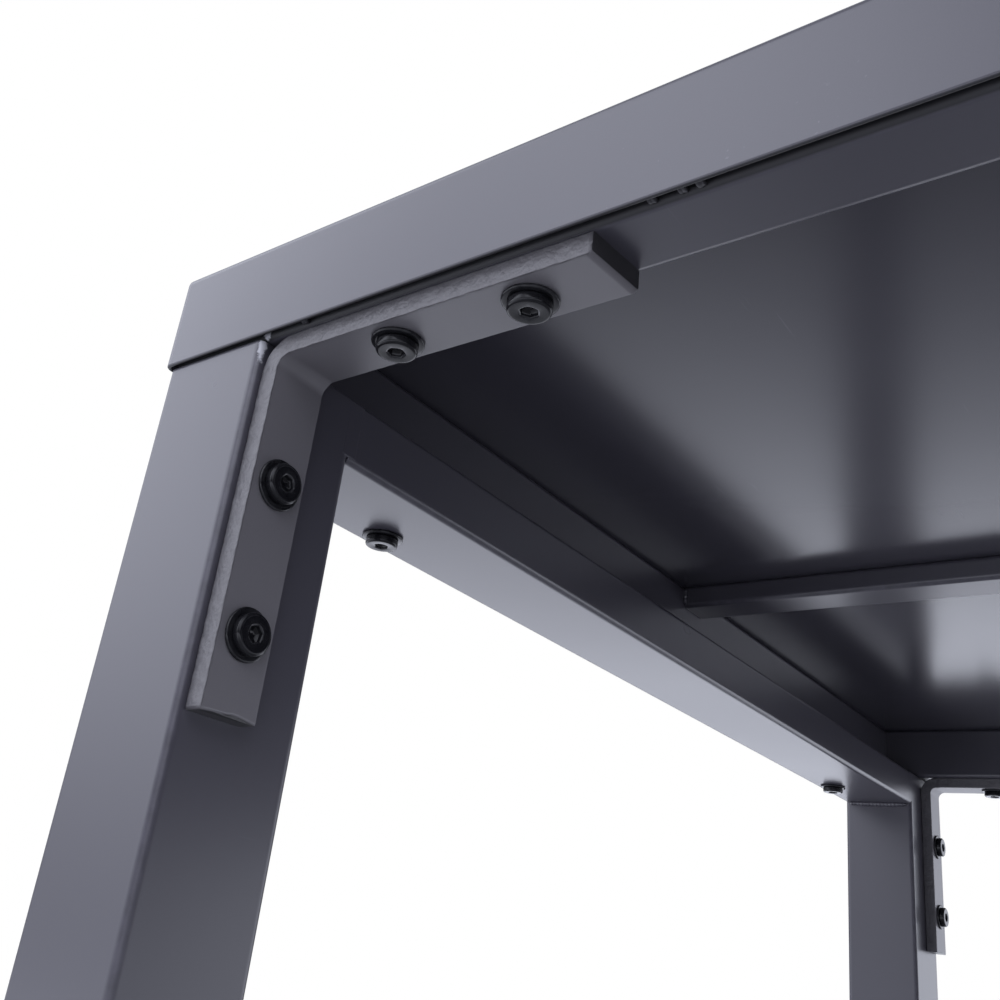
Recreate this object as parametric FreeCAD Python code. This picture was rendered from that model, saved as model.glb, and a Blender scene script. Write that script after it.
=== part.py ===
"""Steel computer desk with a pull-out keyboard tray, one STEP file per piece.

Units are millimetres.  X runs to the right, Y runs to the back and Z runs up.  The origin is on
the floor, under the middle of the desk top.  Heights marked "from the frame plane" are measured
from the plane where the top assembly rests on the side frames.
"""
import FreeCAD, Part
import math
import os

V = FreeCAD.Vector

# ---- overall sizes -----------------------------------------------------------------------------
top_width = 1200.0          # over the folded edges of the top, along X
top_depth = 600.0           # over the folded edges of the top, along Y
desk_height = 750.0         # floor to the upper surface of the top

# ---- sheet of the top --------------------------------------------------------------------------
top_sheet = 1.2
top_fold_radius = 2.5       # outer radius of the fold and of the pan's upright corners
skirt_gap = 0.3             # between the folded edge and the frame inside it

# ---- tubes -------------------------------------------------------------------------------------
tube_wall = 1.5
tube_corner = 2.5           # outer corner radius of every tube
leg_size = 40.0             # square leg tube
side_rail_height = 20.0     # the side rail is as wide as the leg
rail_width = 20.0           # front, back, left and right rails of the top frame
rail_height = 30.0
rail_inset = 1.5            # front and back rails stand this far behind the leg faces
brace_width = 20.0
brace_height = 10.0
carrier_width = 30.0        # two lengthways tubes that carry the keyboard tray

# ---- corner brackets ---------------------------------------------------------------------------
bar_width = 18.0
bar_thickness = 6.0
bracket_arm = 102.0         # along the outside of each arm
bracket_bend = 10.0         # outer radius of the bend
bracket_chamfer = 1.5       # sheared corners at the arm ends
hole_pitch = 41.0           # from the outside corner to the first hole, and on to the second
side_bolt_inset = 90.0      # side rail bolt, from the outer face of the leg

# ---- fasteners (M6 in the frame, M5 on the tray) -----------------------------------------------
m6_shank = 2.95             # radius
m6_bore = 3.0               # nut bore radius
m6_clearance = 3.3          # clearance hole radius
m6_head_radius = 5.5
m6_head_height = 2.7
m6_head_shoulder = 0.9
m6_socket_flats = 4.0
m6_socket_depth = 1.6
washer_radius = 7.0
washer_thickness = 1.0
m6_nut_flats = 10.0
m6_nut_height = 5.0
thread_past_nut = 2.0
m5_shank = 2.45
m5_bore = 2.5
m5_clearance = 2.75
m5_head_radius = 4.6
m5_head_height = 2.4
m5_socket_flats = 3.0
m5_nut_flats = 8.0
m5_nut_height = 4.0

# ---- feet --------------------------------------------------------------------------------------
glide_flange = 5.0
glide_plug = 22.0
glide_clearance = 0.15
glide_fin = 1.6             # wall of the hollow plug
glide_edge = 1.5

# ---- keyboard tray -----------------------------------------------------------------------------
tray_width = 600.0
tray_depth = 310.0
tray_sheet = 1.2
tray_skirt = 30.0
tray_fold_radius = 2.5
tray_drop = 70.0            # frame plane to the tray's upper surface
tray_setback = 20.0         # tray front behind the front of the desk top
stop_height = 16.0          # upright strip at the back of the tray
stop_foot = 14.0
stop_sheet = 1.5
stop_margin = 12.0
tray_travel = 220.0

# ---- tray slides -------------------------------------------------------------------------------
slide_length = 300.0
slide_height = 27.0
slide_thickness = 12.7
slide_sheet = 1.2
slide_start = 5.0           # slide front behind the tray front
ball_radius = 1.95
ball_play = 0.05
cage_sheet = 0.8
cage_length = 80.0
cage_ball_count = 6
outer_depth = 10.0          # the outer member's channel, from the hanger
outer_lip = 2.2             # turned-in edges of the outer member
inner_depth = 8.9           # the inner member's channel, from the tray
cage_depth = 6.6
cage_clearance = 0.4        # between the cage and the outer member
ball_hole_clearance = 0.1
slide_screw_margin = 35.0   # screws from the ends of a slide
slide_screw_head = 1.2
slide_screw_past = 1.0      # thread that shows past the last sheet
hanger_sheet = 2.0
hanger_flange = 30.0
hanger_below_slide = 4.0
hanger_bolt_margin = 30.0   # first and last bolt from the ends of the hanger
bumper_length = 6.0
bumper_clearance = 0.2

# ---- welds -------------------------------------------------------------------------------------
weld_leg = 3.0              # size of the bead between a leg and the side rail

# ---- derived places ----------------------------------------------------------------------------
frame_plane = desk_height - top_sheet - rail_height
sheet_underside = desk_height - top_sheet
frame_half_x = top_width / 2 - top_sheet - skirt_gap
frame_half_y = top_depth / 2 - top_sheet - skirt_gap
leg_inner_x = frame_half_x - leg_size
leg_inner_y = frame_half_y - leg_size
rail_front_y = frame_half_y - rail_inset
rail_mid_y = rail_front_y - rail_width / 2
rail_inner_y = rail_front_y - rail_width
rail_end_x = top_width / 2 - top_fold_radius
side_rail_mid_x = frame_half_x - rail_width / 2
side_rail_inner_x = frame_half_x - rail_width
tray_top = frame_plane - tray_drop
tray_front_y = -top_depth / 2 + tray_setback
tray_back_y = tray_front_y + tray_depth
tray_half_x = tray_width / 2
slide_mid_z = tray_top - tray_skirt / 2
slide_front_y = tray_front_y + slide_start
hanger_face_x = tray_half_x + slide_thickness
carrier_mid_x = hanger_face_x + carrier_width / 2
hanger_bottom = slide_mid_z - slide_height / 2 - hanger_below_slide
LEFT, RIGHT, FRONT, BACK = -1, 1, -1, 1
SIDES = (("left", LEFT), ("right", RIGHT))
ENDS = (("front", FRONT), ("back", BACK))


# ---- shape helpers -----------------------------------------------------------------------------
def box(x0, x1, y0, y1, z0, z1):
    """Box between two corners, whichever way round each pair is given."""
    low = V(min(x0, x1), min(y0, y1), min(z0, z1))
    return Part.makeBox(abs(x1 - x0), abs(y1 - y0), abs(z1 - z0), low)


def rounded_bar(x0, x1, y0, y1, z0, z1, axis, radius):
    """Box whose four edges along the axis are rounded."""
    solid = box(x0, x1, y0, y1, z0, z1)
    edges = []
    for edge in solid.Edges:
        run = edge.Vertexes[1].Point.sub(edge.Vertexes[0].Point)
        if abs(run[axis]) > 0.999 * run.Length:
            edges.append(edge)
    return solid.makeFillet(radius, edges)


def tube(x0, x1, y0, y1, z0, z1, axis):
    """Square-cornered hollow section along the axis (0, 1 or 2), open at both ends."""
    outer = rounded_bar(x0, x1, y0, y1, z0, z1, axis, tube_corner)
    low = [min(x0, x1), min(y0, y1), min(z0, z1)]
    high = [max(x0, x1), max(y0, y1), max(z0, z1)]
    for k in range(3):
        if k != axis:
            low[k] += tube_wall
            high[k] -= tube_wall
    inner = rounded_bar(low[0], high[0], low[1], high[1], low[2], high[2], axis,
                        tube_corner - tube_wall)
    return outer.cut(inner)


def rod(centre, direction, radius, length):
    return Part.makeCylinder(radius, length, centre, direction)


def hexagon(centre, direction, across_flats, height):
    """Six-sided prism standing on the centre point."""
    radius = across_flats / math.sqrt(3)
    points = []
    for k in range(7):
        turn = math.radians(60 * k)
        points.append(V(radius * math.cos(turn), radius * math.sin(turn), 0))
    prism = Part.Face(Part.makePolygon(points)).extrude(V(0, 0, height))
    prism.Placement = FreeCAD.Placement(centre, FreeCAD.Rotation(V(0, 0, 1), direction))
    return prism


def washer(centre, direction):
    """Plain washer standing on the centre point."""
    disc = rod(centre, direction, washer_radius, washer_thickness)
    return disc.cut(rod(centre, direction, m6_clearance, washer_thickness))


def low_head_screw(seat, direction, head_radius, head_height, shank_radius, length, flats, shoulder):
    """Socket screw: the head stands on the seat, the shank runs against the direction."""
    head = rod(seat, direction, head_radius, head_height)
    rim = []
    for edge in head.Edges:
        middle = edge.CenterOfMass.sub(seat)
        if edge.Closed and middle.dot(direction) > 0.9 * head_height:
            rim.append(edge)
    head = head.makeFillet(shoulder, rim)
    top = seat + direction * (head_height - m6_socket_depth)
    head = head.cut(hexagon(top, direction, flats, m6_socket_depth))
    shank = rod(seat - direction * length, direction, shank_radius, length)
    return head.fuse(shank).removeSplitter()


def nut(seat, direction, flats, height, bore):
    """Hexagon nut standing on the seat."""
    return hexagon(seat, direction, flats, height).cut(rod(seat, direction, bore, height))


def mirrored(shape, side, end):
    """The front-left shape carried over to another corner."""
    if side == RIGHT:
        shape = shape.mirror(V(0, 0, 0), V(1, 0, 0))
    if end == BACK:
        shape = shape.mirror(V(0, 0, 0), V(0, 1, 0))
    return shape


def every_corner(shape):
    return [mirrored(shape, side, end) for _, side in SIDES for _, end in ENDS]


def save(name, shapes):
    """Write one node; a list becomes a group of separate solids."""
    if not isinstance(shapes, list):
        shapes = [shapes]
    solids = [solid for shape in shapes for solid in shape.Solids]
    shape = solids[0] if len(solids) == 1 else Part.makeCompound(solids)
    if not shape.isValid():
        raise ValueError("bad shape: " + name)
    shape.exportStep("parts/" + name + ".step")


# ---- the top -----------------------------------------------------------------------------------
def folded_pan(half_x, front_y, back_y, top_z, depth, sheet, radius):
    """Sheet pan, open below: a flat top with four turned-down sides and rounded folds."""
    def block(inset, corner, low_z):
        high_z = top_z - inset
        solid = box(-half_x + inset, half_x - inset, front_y + inset, back_y - inset, low_z, high_z)
        upper = [e for e in solid.Edges if e.BoundBox.ZMax > high_z - 0.01]
        return solid.makeFillet(corner, upper)

    return block(0, radius, top_z - depth).cut(block(sheet, radius - sheet, top_z - depth))


def make_top():
    pan_depth = rail_height + top_sheet
    half_y = top_depth / 2
    save("top_pan", folded_pan(top_width / 2, -half_y, half_y, desk_height, pan_depth,
                               top_sheet, top_fold_radius))


# ---- fastener places on the front left corner --------------------------------------------------
def bracket_bolts_down():
    """Bolt axes through the bracket into the front rail: points on the frame plane."""
    return [V(-leg_inner_x + k * hole_pitch, -rail_mid_y, frame_plane) for k in (1, 2)]


def bracket_bolts_across():
    """Bolt axes through the bracket into the leg: points on the leg's inner face."""
    return [V(-leg_inner_x, -rail_mid_y, frame_plane - k * hole_pitch) for k in (1, 2)]


def side_bolt():
    """Bolt axis through the side rail into the left rail: its point on the frame plane."""
    return V(-side_rail_mid_x, -frame_half_y + side_bolt_inset, frame_plane)


def hanger_bolts():
    """Bolt axes through the left hanger's flange into the carrier."""
    reach = slide_length / 2 - hanger_bolt_margin
    middle = slide_front_y + slide_length / 2
    return [V(-carrier_mid_x, middle + k * reach, frame_plane) for k in (-1, 0, 1)]


# ---- frame of the top --------------------------------------------------------------------------
def make_top_frame():
    ring_z = (frame_plane, sheet_underside)
    for name, end in ENDS:
        rail = tube(-rail_end_x, rail_end_x, end * rail_inner_y, end * rail_front_y, *ring_z, 0)
        for point in bracket_bolts_down():
            for side in (LEFT, RIGHT):
                seat = V(-side * point.x, end * rail_mid_y, frame_plane)
                rail = rail.cut(rod(seat, V(0, 0, 1), m6_clearance, tube_wall))
        save("top_rail_" + name, rail)
    for name, side in SIDES:
        rail = tube(side * side_rail_inner_x, side * frame_half_x, -rail_inner_y, rail_inner_y,
                    *ring_z, 1)
        for _, end in ENDS:
            seat = mirrored(Part.Vertex(side_bolt()), side, end).Point
            rail = rail.cut(rod(seat, V(0, 0, 1), m6_clearance, tube_wall))
        save("top_rail_" + name, rail)
    brace_low = sheet_underside - brace_height
    save("top_brace", tube(-side_rail_inner_x, side_rail_inner_x, -brace_width / 2,
                           brace_width / 2, brace_low, sheet_underside, 0))
    for name, side in SIDES:
        x_low = side * (carrier_mid_x - carrier_width / 2)
        x_high = side * (carrier_mid_x + carrier_width / 2)
        carrier = tube(x_low, x_high, -rail_inner_y, rail_inner_y, frame_plane, brace_low, 1)
        for point in hanger_bolts():
            seat = V(side * carrier_mid_x, point.y, frame_plane)
            carrier = carrier.cut(rod(seat, V(0, 0, 1), m5_clearance, tube_wall))
        save("tray_carrier_" + name, carrier)


# ---- side frames -------------------------------------------------------------------------------
def front_left_leg():
    leg = tube(-frame_half_x, -leg_inner_x, -frame_half_y, -leg_inner_y, glide_flange,
               frame_plane, 2)
    for point in bracket_bolts_across():
        leg = leg.cut(rod(point - V(tube_wall, 0, 0), V(1, 0, 0), m6_clearance, tube_wall))
    return leg


def make_side_frames():
    leg = front_left_leg()
    for end_name, end in ENDS:
        for side_name, side in SIDES:
            save("leg_" + end_name + "_" + side_name, mirrored(leg, side, end))
    inset = tube_wall
    cap = rounded_bar(-frame_half_x + inset, -leg_inner_x - inset, -frame_half_y + inset,
                      -leg_inner_y - inset, frame_plane - tube_wall, frame_plane, 2,
                      tube_corner - tube_wall)
    save("leg_end_plates", every_corner(cap))
    for name, side in SIDES:
        rail = tube(side * leg_inner_x, side * frame_half_x, -leg_inner_y, leg_inner_y,
                    frame_plane - side_rail_height, frame_plane, 1)
        for _, end in ENDS:
            seat = mirrored(Part.Vertex(side_bolt()), side, end).Point
            below = seat - V(0, 0, side_rail_height)
            rail = rail.cut(rod(below, V(0, 0, 1), m6_clearance, side_rail_height))
        save("side_rail_" + name, rail)
    low = frame_plane - side_rail_height
    corner = V(-frame_half_x + tube_corner, -leg_inner_y, low)
    bead = Part.Face(Part.makePolygon([corner, corner + V(0, weld_leg, 0),
                                       corner - V(0, 0, weld_leg), corner]))
    bead = bead.extrude(V(leg_size - 2 * tube_corner, 0, 0))
    save("corner_welds", every_corner(bead))


def make_glides():
    x0, x1 = -frame_half_x, -leg_inner_x
    y0, y1 = -frame_half_y, -leg_inner_y
    flange = rounded_bar(x0, x1, y0, y1, 0, glide_flange, 2, tube_corner)
    rim = [e for e in flange.Edges if e.BoundBox.ZMax < 0.01]
    flange = flange.makeFillet(glide_edge, rim)
    gap = tube_wall + glide_clearance
    plug = rounded_bar(x0 + gap, x1 - gap, y0 + gap, y1 - gap, glide_flange,
                       glide_flange + glide_plug, 2, tube_corner - tube_wall)
    inner = gap + glide_fin
    hollow = box(x0 + inner, x1 - inner, y0 + inner, y1 - inner, glide_flange,
                 glide_flange + glide_plug)
    glide = flange.fuse(plug.cut(hollow))
    for end_name, end in ENDS:
        for side_name, side in SIDES:
            save("glide_" + end_name + "_" + side_name, mirrored(glide, side, end))


# ---- corner brackets and their screws ----------------------------------------------------------
def front_left_bracket():
    """Flat bar bent to an L: outer faces on the leg and on the frame plane."""
    x0, z0 = -leg_inner_x, frame_plane
    t, reach, bend = bar_thickness, bracket_arm, bracket_bend
    y0 = -rail_mid_y - bar_width / 2

    def at(x, z):
        return V(x0 + x, y0, z0 - z)

    def arc(radius, flip):
        slant = bend - radius * math.sqrt(0.5)
        ends = [at(bend - radius, bend), at(slant, slant), at(bend, bend - radius)]
        if flip:
            ends.reverse()
        return Part.Arc(*ends).toShape()

    outline = [
        Part.makeLine(at(0, reach), at(0, bend)),
        arc(bend, False),
        Part.makeLine(at(bend, 0), at(reach, 0)),
        Part.makeLine(at(reach, 0), at(reach, t)),
        Part.makeLine(at(reach, t), at(bend, t)),
        arc(bend - t, True),
        Part.makeLine(at(t, bend), at(t, reach)),
        Part.makeLine(at(t, reach), at(0, reach)),
    ]
    bar = Part.Face(Part.Wire(outline)).extrude(V(0, bar_width, 0))
    corners = []
    for edge in bar.Edges:
        middle = edge.CenterOfMass
        along_x = abs(middle.x - (x0 + reach)) < 0.01 and abs(edge.Length - t) < 0.01
        along_z = abs(middle.z - (z0 - reach)) < 0.01 and abs(edge.Length - t) < 0.01
        if along_x or along_z:
            corners.append(edge)
    bar = bar.makeChamfer(bracket_chamfer, corners)
    for point in bracket_bolts_down():
        bar = bar.cut(rod(point - V(0, 0, t), V(0, 0, 1), m6_clearance, t))
    for point in bracket_bolts_across():
        bar = bar.cut(rod(point, V(1, 0, 0), m6_clearance, t))
    return bar


def m6_screw(seat, direction, length):
    return low_head_screw(seat, direction, m6_head_radius, m6_head_height, m6_shank, length,
                          m6_socket_flats, m6_head_shoulder)


def make_brackets():
    bracket = front_left_bracket()
    for end_name, end in ENDS:
        for side_name, side in SIDES:
            save("bracket_" + end_name + "_" + side_name, mirrored(bracket, side, end))
    screws, washers, nuts = [], [], []
    length = washer_thickness + bar_thickness + tube_wall + m6_nut_height + thread_past_nut
    sets = [(bracket_bolts_down(), V(0, 0, -1)), (bracket_bolts_across(), V(1, 0, 0))]
    for points, out in sets:
        for point in points:
            seat = point + out * bar_thickness
            washers += every_corner(washer(seat, out))
            screws += every_corner(m6_screw(seat + out * washer_thickness, out, length))
            nut_seat = point - out * tube_wall
            nuts += every_corner(nut(nut_seat, out * -1, m6_nut_flats, m6_nut_height, m6_bore))
    save("bracket_screws", screws)
    save("bracket_washers", washers)
    save("bracket_nuts", nuts)


def make_side_bolts():
    down = V(0, 0, -1)
    point = side_bolt()
    seat = point + down * side_rail_height
    length = (washer_thickness + side_rail_height + tube_wall + m6_nut_height + thread_past_nut)
    save("side_washers", every_corner(washer(seat, down)))
    save("side_screws", every_corner(m6_screw(seat + down * washer_thickness, down, length)))
    nut_seat = point - down * tube_wall
    save("side_nuts", every_corner(nut(nut_seat, down * -1, m6_nut_flats, m6_nut_height, m6_bore)))


# ---- keyboard tray and its slides --------------------------------------------------------------
def mirror_x(shape):
    return shape.mirror(V(0, 0, 0), V(1, 0, 0))


def save_pair(name, left_shape):
    save(name + "_left", left_shape)
    if isinstance(left_shape, list):
        save(name + "_right", [mirror_x(shape) for shape in left_shape])
    else:
        save(name + "_right", mirror_x(left_shape))


def slide_screw_ys():
    """Screw places along a slide, clear of its two ends."""
    rear = slide_front_y + slide_length
    return [slide_front_y + slide_screw_margin, rear - slide_screw_margin]


def make_hangers():
    y0, y1 = slide_front_y, slide_front_y + slide_length
    web = box(-hanger_face_x - hanger_sheet, -hanger_face_x, y0, y1, hanger_bottom, frame_plane)
    flange = box(-hanger_face_x - hanger_flange, -hanger_face_x, y0, y1,
                 frame_plane - hanger_sheet, frame_plane)
    hanger = web.fuse(flange).removeSplitter()
    fold = []
    for edge in hanger.Edges:
        middle = edge.CenterOfMass
        outside = abs(middle.x + hanger_face_x) < 0.01 and abs(middle.z - frame_plane) < 0.01
        if outside and edge.Length > slide_length - 1:
            fold.append(edge)
    hanger = hanger.makeFillet(hanger_sheet, fold)
    for point in hanger_bolts():
        hanger = hanger.cut(rod(point - V(0, 0, hanger_sheet), V(0, 0, 1), m5_clearance,
                                hanger_sheet))
    for y in slide_screw_ys():
        hole = V(-hanger_face_x - hanger_sheet, y, slide_mid_z)
        hanger = hanger.cut(rod(hole, V(1, 0, 0), m5_clearance, hanger_sheet))
    save_pair("tray_hanger", hanger)
    screws, nuts = [], []
    length = hanger_sheet + tube_wall + m5_nut_height + thread_past_nut
    for point in hanger_bolts():
        seat = point - V(0, 0, hanger_sheet)
        screws.append(low_head_screw(seat, V(0, 0, -1), m5_head_radius, m5_head_height, m5_shank,
                                     length, m5_socket_flats, m6_head_shoulder))
        nuts.append(nut(point + V(0, 0, tube_wall), V(0, 0, 1), m5_nut_flats, m5_nut_height,
                        m5_bore))
    save("hanger_screws", screws + [mirror_x(s) for s in screws])
    save("hanger_nuts", nuts + [mirror_x(s) for s in nuts])


def make_outer_member():
    """Channel on the hanger, open towards the tray, with turned-in lips."""
    y0, y1 = slide_front_y, slide_front_y + slide_length
    half = slide_height / 2
    x_back = -hanger_face_x
    x_open = x_back + outer_depth
    shell = box(x_back, x_open, y0, y1, slide_mid_z - half, slide_mid_z + half)
    inside = half - slide_sheet
    shell = shell.cut(box(x_back + slide_sheet, x_open, y0, y1, slide_mid_z - inside,
                          slide_mid_z + inside))
    for up in (-1, 1):
        edge = slide_mid_z + up * inside
        shell = shell.fuse(box(x_open - slide_sheet, x_open, y0, y1, edge, edge - up * outer_lip))
    shell = shell.removeSplitter()
    for y in slide_screw_ys():
        shell = shell.cut(rod(V(x_back, y, slide_mid_z), V(1, 0, 0), m5_bore, slide_sheet))
    save_pair("slide_outer", shell)
    reach = slide_sheet + bumper_clearance
    bumper = box(x_back + reach, x_open - reach, y1 - bumper_length, y1, slide_mid_z - inside,
                 slide_mid_z + inside)
    save_pair("slide_bumper", bumper)


def inner_half_height():
    return slide_height / 2 - slide_sheet - 2 * (ball_radius + ball_play)


def make_inner_member():
    """Channel on the tray's side, open towards the hanger; it ends short of the rear bumper."""
    y0, y1 = slide_front_y, slide_front_y + slide_length - bumper_length
    half = inner_half_height()
    x_tray = -tray_half_x
    x_open = x_tray - inner_depth
    shell = box(x_open, x_tray, y0, y1, slide_mid_z - half, slide_mid_z + half)
    inside = half - slide_sheet
    shell = shell.cut(box(x_open, x_tray - slide_sheet, y0, y1, slide_mid_z - inside,
                          slide_mid_z + inside))
    for y in slide_screw_ys():
        shell = shell.cut(rod(V(x_tray - slide_sheet, y, slide_mid_z), V(1, 0, 0), m5_bore,
                              slide_sheet))
    save_pair("slide_inner", shell)


def make_cage():
    """Ball cage: a thin channel with a row of balls above and below the inner member."""
    y0 = slide_front_y + tray_travel / 2
    y1 = y0 + cage_length
    mid_gap = inner_half_height() + ball_radius + ball_play
    x_back = -hanger_face_x + slide_sheet + cage_clearance
    x_open = x_back + cage_depth
    high = mid_gap + cage_sheet / 2
    low = mid_gap - cage_sheet / 2
    cage = box(x_back, x_open, y0, y1, slide_mid_z - high, slide_mid_z + high)
    cage = cage.cut(box(x_back + cage_sheet, x_open, y0, y1, slide_mid_z - low, slide_mid_z + low))
    ball_x = (x_back + cage_sheet + x_open) / 2
    pitch = cage_length / cage_ball_count
    balls = []
    for k in range(cage_ball_count):
        y = y0 + (k + 0.5) * pitch
        for up in (-1, 1):
            centre = V(ball_x, y, slide_mid_z + up * mid_gap)
            balls.append(Part.makeSphere(ball_radius, centre))
            below = centre - V(0, 0, cage_sheet)
            cage = cage.cut(rod(below, V(0, 0, 1), ball_radius + ball_hole_clearance,
                                2 * cage_sheet))
    save_pair("slide_cage", cage)
    save_pair("slide_balls", balls)


def make_slide_screws():
    outer, inner = [], []
    for y in slide_screw_ys():
        seat = V(-hanger_face_x - hanger_sheet, y, slide_mid_z)
        screw = rod(seat, V(1, 0, 0), m5_shank, hanger_sheet + slide_sheet)
        head = rod(seat, V(-1, 0, 0), m5_head_radius, slide_screw_head)
        outer.append(screw.fuse(head).removeSplitter())
        seat = V(-tray_half_x - slide_sheet, y, slide_mid_z)
        length = slide_sheet + tray_sheet + slide_screw_past
        screw = rod(seat, V(1, 0, 0), m5_shank, length)
        head = rod(seat, V(-1, 0, 0), m5_head_radius, slide_screw_head)
        inner.append(screw.fuse(head).removeSplitter())
    save("slide_screws_outer", outer + [mirror_x(s) for s in outer])
    save("slide_screws_inner", inner + [mirror_x(s) for s in inner])


def make_tray():
    tray = folded_pan(tray_half_x, tray_front_y, tray_back_y, tray_top, tray_skirt, tray_sheet,
                      tray_fold_radius)
    for side in (LEFT, RIGHT):
        for y in slide_screw_ys():
            face = V(side * tray_half_x, y, slide_mid_z)
            tray = tray.cut(rod(face, V(-side, 0, 0), m5_bore, tray_sheet))
    save("keyboard_tray", tray)
    half = tray_half_x - stop_margin
    y1 = tray_back_y - stop_margin
    upright = box(-half, half, y1 - stop_sheet, y1, tray_top, tray_top + stop_height)
    foot = box(-half, half, y1 - stop_foot, y1, tray_top, tray_top + stop_sheet)
    save("keyboard_stop", upright.fuse(foot).removeSplitter())


os.makedirs("parts", exist_ok=True)
make_top()
make_top_frame()
make_side_frames()
make_glides()
make_brackets()
make_side_bolts()
make_hangers()
make_outer_member()
make_inner_member()
make_cage()
make_slide_screws()
make_tray()
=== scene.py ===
"""Looks of a steel computer desk with a pull-out keyboard tray, laid out as a Blender add-on.

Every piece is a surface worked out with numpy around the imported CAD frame. Lengths are metres.
"""

import bmesh
import bpy
import numpy as np
from mathutils import Matrix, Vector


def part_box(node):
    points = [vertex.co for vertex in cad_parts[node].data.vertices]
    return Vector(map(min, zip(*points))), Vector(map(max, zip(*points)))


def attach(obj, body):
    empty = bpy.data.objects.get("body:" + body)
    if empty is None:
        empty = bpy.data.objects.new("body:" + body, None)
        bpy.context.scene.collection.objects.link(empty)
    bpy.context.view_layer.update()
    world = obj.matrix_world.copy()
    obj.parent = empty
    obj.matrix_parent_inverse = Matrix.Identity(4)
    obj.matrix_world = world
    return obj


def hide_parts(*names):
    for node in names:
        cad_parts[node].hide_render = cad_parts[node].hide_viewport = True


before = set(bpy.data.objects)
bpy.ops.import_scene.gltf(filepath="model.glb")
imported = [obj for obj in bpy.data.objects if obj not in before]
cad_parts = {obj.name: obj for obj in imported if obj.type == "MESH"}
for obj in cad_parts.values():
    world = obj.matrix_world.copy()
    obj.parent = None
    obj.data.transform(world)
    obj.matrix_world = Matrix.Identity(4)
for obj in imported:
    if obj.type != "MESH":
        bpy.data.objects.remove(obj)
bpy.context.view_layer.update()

bl_info = {
    "name": "Steel Computer Desk",
    "version": (1, 0, 0),
    "blender": (4, 5, 0),
    "location": "3D View > Sidebar > Desk",
    "description": "Builds the finished pieces of a steel desk around its CAD frame",
    "category": "Object",
}

MM = 0.001
SIDES = (("left", -1.0), ("right", 1.0))
ENDS = (("front", -1.0), ("back", 1.0))
CORNERS = [(e, s, sy, sx) for e, sy in ENDS for s, sx in SIDES]


# ---- settings a user would change --------------------------------------------------------------
class DeskSizes(bpy.types.PropertyGroup):
    """Small sizes of the finish; the large ones come from the frame"""
    tube_corner: bpy.props.FloatProperty(
        name="Tube corner", description="Outer corner radius of the tubes",
        default=2.0 * MM, min=1.6 * MM, unit="LENGTH")
    tube_wall: bpy.props.FloatProperty(
        name="Tube wall", description="Wall thickness of the tubes",
        default=1.5 * MM, min=0.5 * MM, unit="LENGTH")
    sheet: bpy.props.FloatProperty(
        name="Sheet", description="Thickness of the folded top and tray",
        default=1.2 * MM, min=0.5 * MM, unit="LENGTH")
    fold: bpy.props.FloatProperty(
        name="Fold radius", description="Outer radius of the folds of the top and the tray",
        default=2.5 * MM, min=1.5 * MM, unit="LENGTH")
    bar: bpy.props.FloatProperty(
        name="Bracket bar", description="Thickness of the bent flat bar",
        default=6.0 * MM, min=2.0 * MM, unit="LENGTH")
    bend: bpy.props.FloatProperty(
        name="Bracket bend", description="Outer radius of the bracket's bend",
        default=10.0 * MM, min=7.0 * MM, unit="LENGTH")
    shear: bpy.props.FloatProperty(
        name="Sheared edge", description="Roughness of the bracket's cut edges",
        default=0.16 * MM, min=0.0, unit="LENGTH")
    deburr: bpy.props.FloatProperty(
        name="Deburr", description="Rounding of cut edges",
        default=0.25 * MM, min=0.05 * MM, unit="LENGTH")


class DeskColours(bpy.types.PropertyGroup):
    """Colours of the finishes"""
    coat: bpy.props.FloatVectorProperty(
        name="Coat", description="Graphite powder coat", subtype="COLOR", size=3,
        default=(0.042, 0.040, 0.050), min=0.0, max=1.0)
    bracket: bpy.props.FloatVectorProperty(
        name="Bracket coat", description="Coat over the rougher bracket bar", subtype="COLOR",
        size=3, default=(0.096, 0.092, 0.1), min=0.0, max=1.0)
    screw: bpy.props.FloatVectorProperty(
        name="Screws", description="Black screws and washers", subtype="COLOR", size=3,
        default=(0.004, 0.004, 0.005), min=0.0, max=1.0)
    zinc: bpy.props.FloatVectorProperty(
        name="Zinc", description="Slides and nuts", subtype="COLOR", size=3,
        default=(0.62, 0.63, 0.65), min=0.0, max=1.0)
    plastic: bpy.props.FloatVectorProperty(
        name="Plastic", description="Glides under the legs", subtype="COLOR", size=3,
        default=(0.02, 0.02, 0.022), min=0.0, max=1.0)
    floor: bpy.props.FloatVectorProperty(
        name="Floor", description="Pale studio floor", subtype="COLOR", size=3,
        default=(0.45, 0.45, 0.46), min=0.0, max=1.0)


def sizes():
    return bpy.context.scene.desk_sizes


def colours():
    return bpy.context.scene.desk_colours


def box_of(node):
    """Low and high corner of a CAD node as arrays."""
    low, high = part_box(node)
    return np.array(low), np.array(high)


# ---- meshes from arrays ------------------------------------------------------------------------
def grid_faces(rows, columns, wrap_rows, wrap_columns):
    """Quads between neighbours of a rows x columns grid of points."""
    r = np.arange(rows if wrap_rows else rows - 1)
    c = np.arange(columns if wrap_columns else columns - 1)
    r, c = np.meshgrid(r, c, indexing="ij")
    r2, c2 = (r + 1) % rows, (c + 1) % columns
    quads = np.stack([r * columns + c, r * columns + c2, r2 * columns + c2, r2 * columns + c], -1)
    return quads.reshape(-1, 4)


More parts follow.
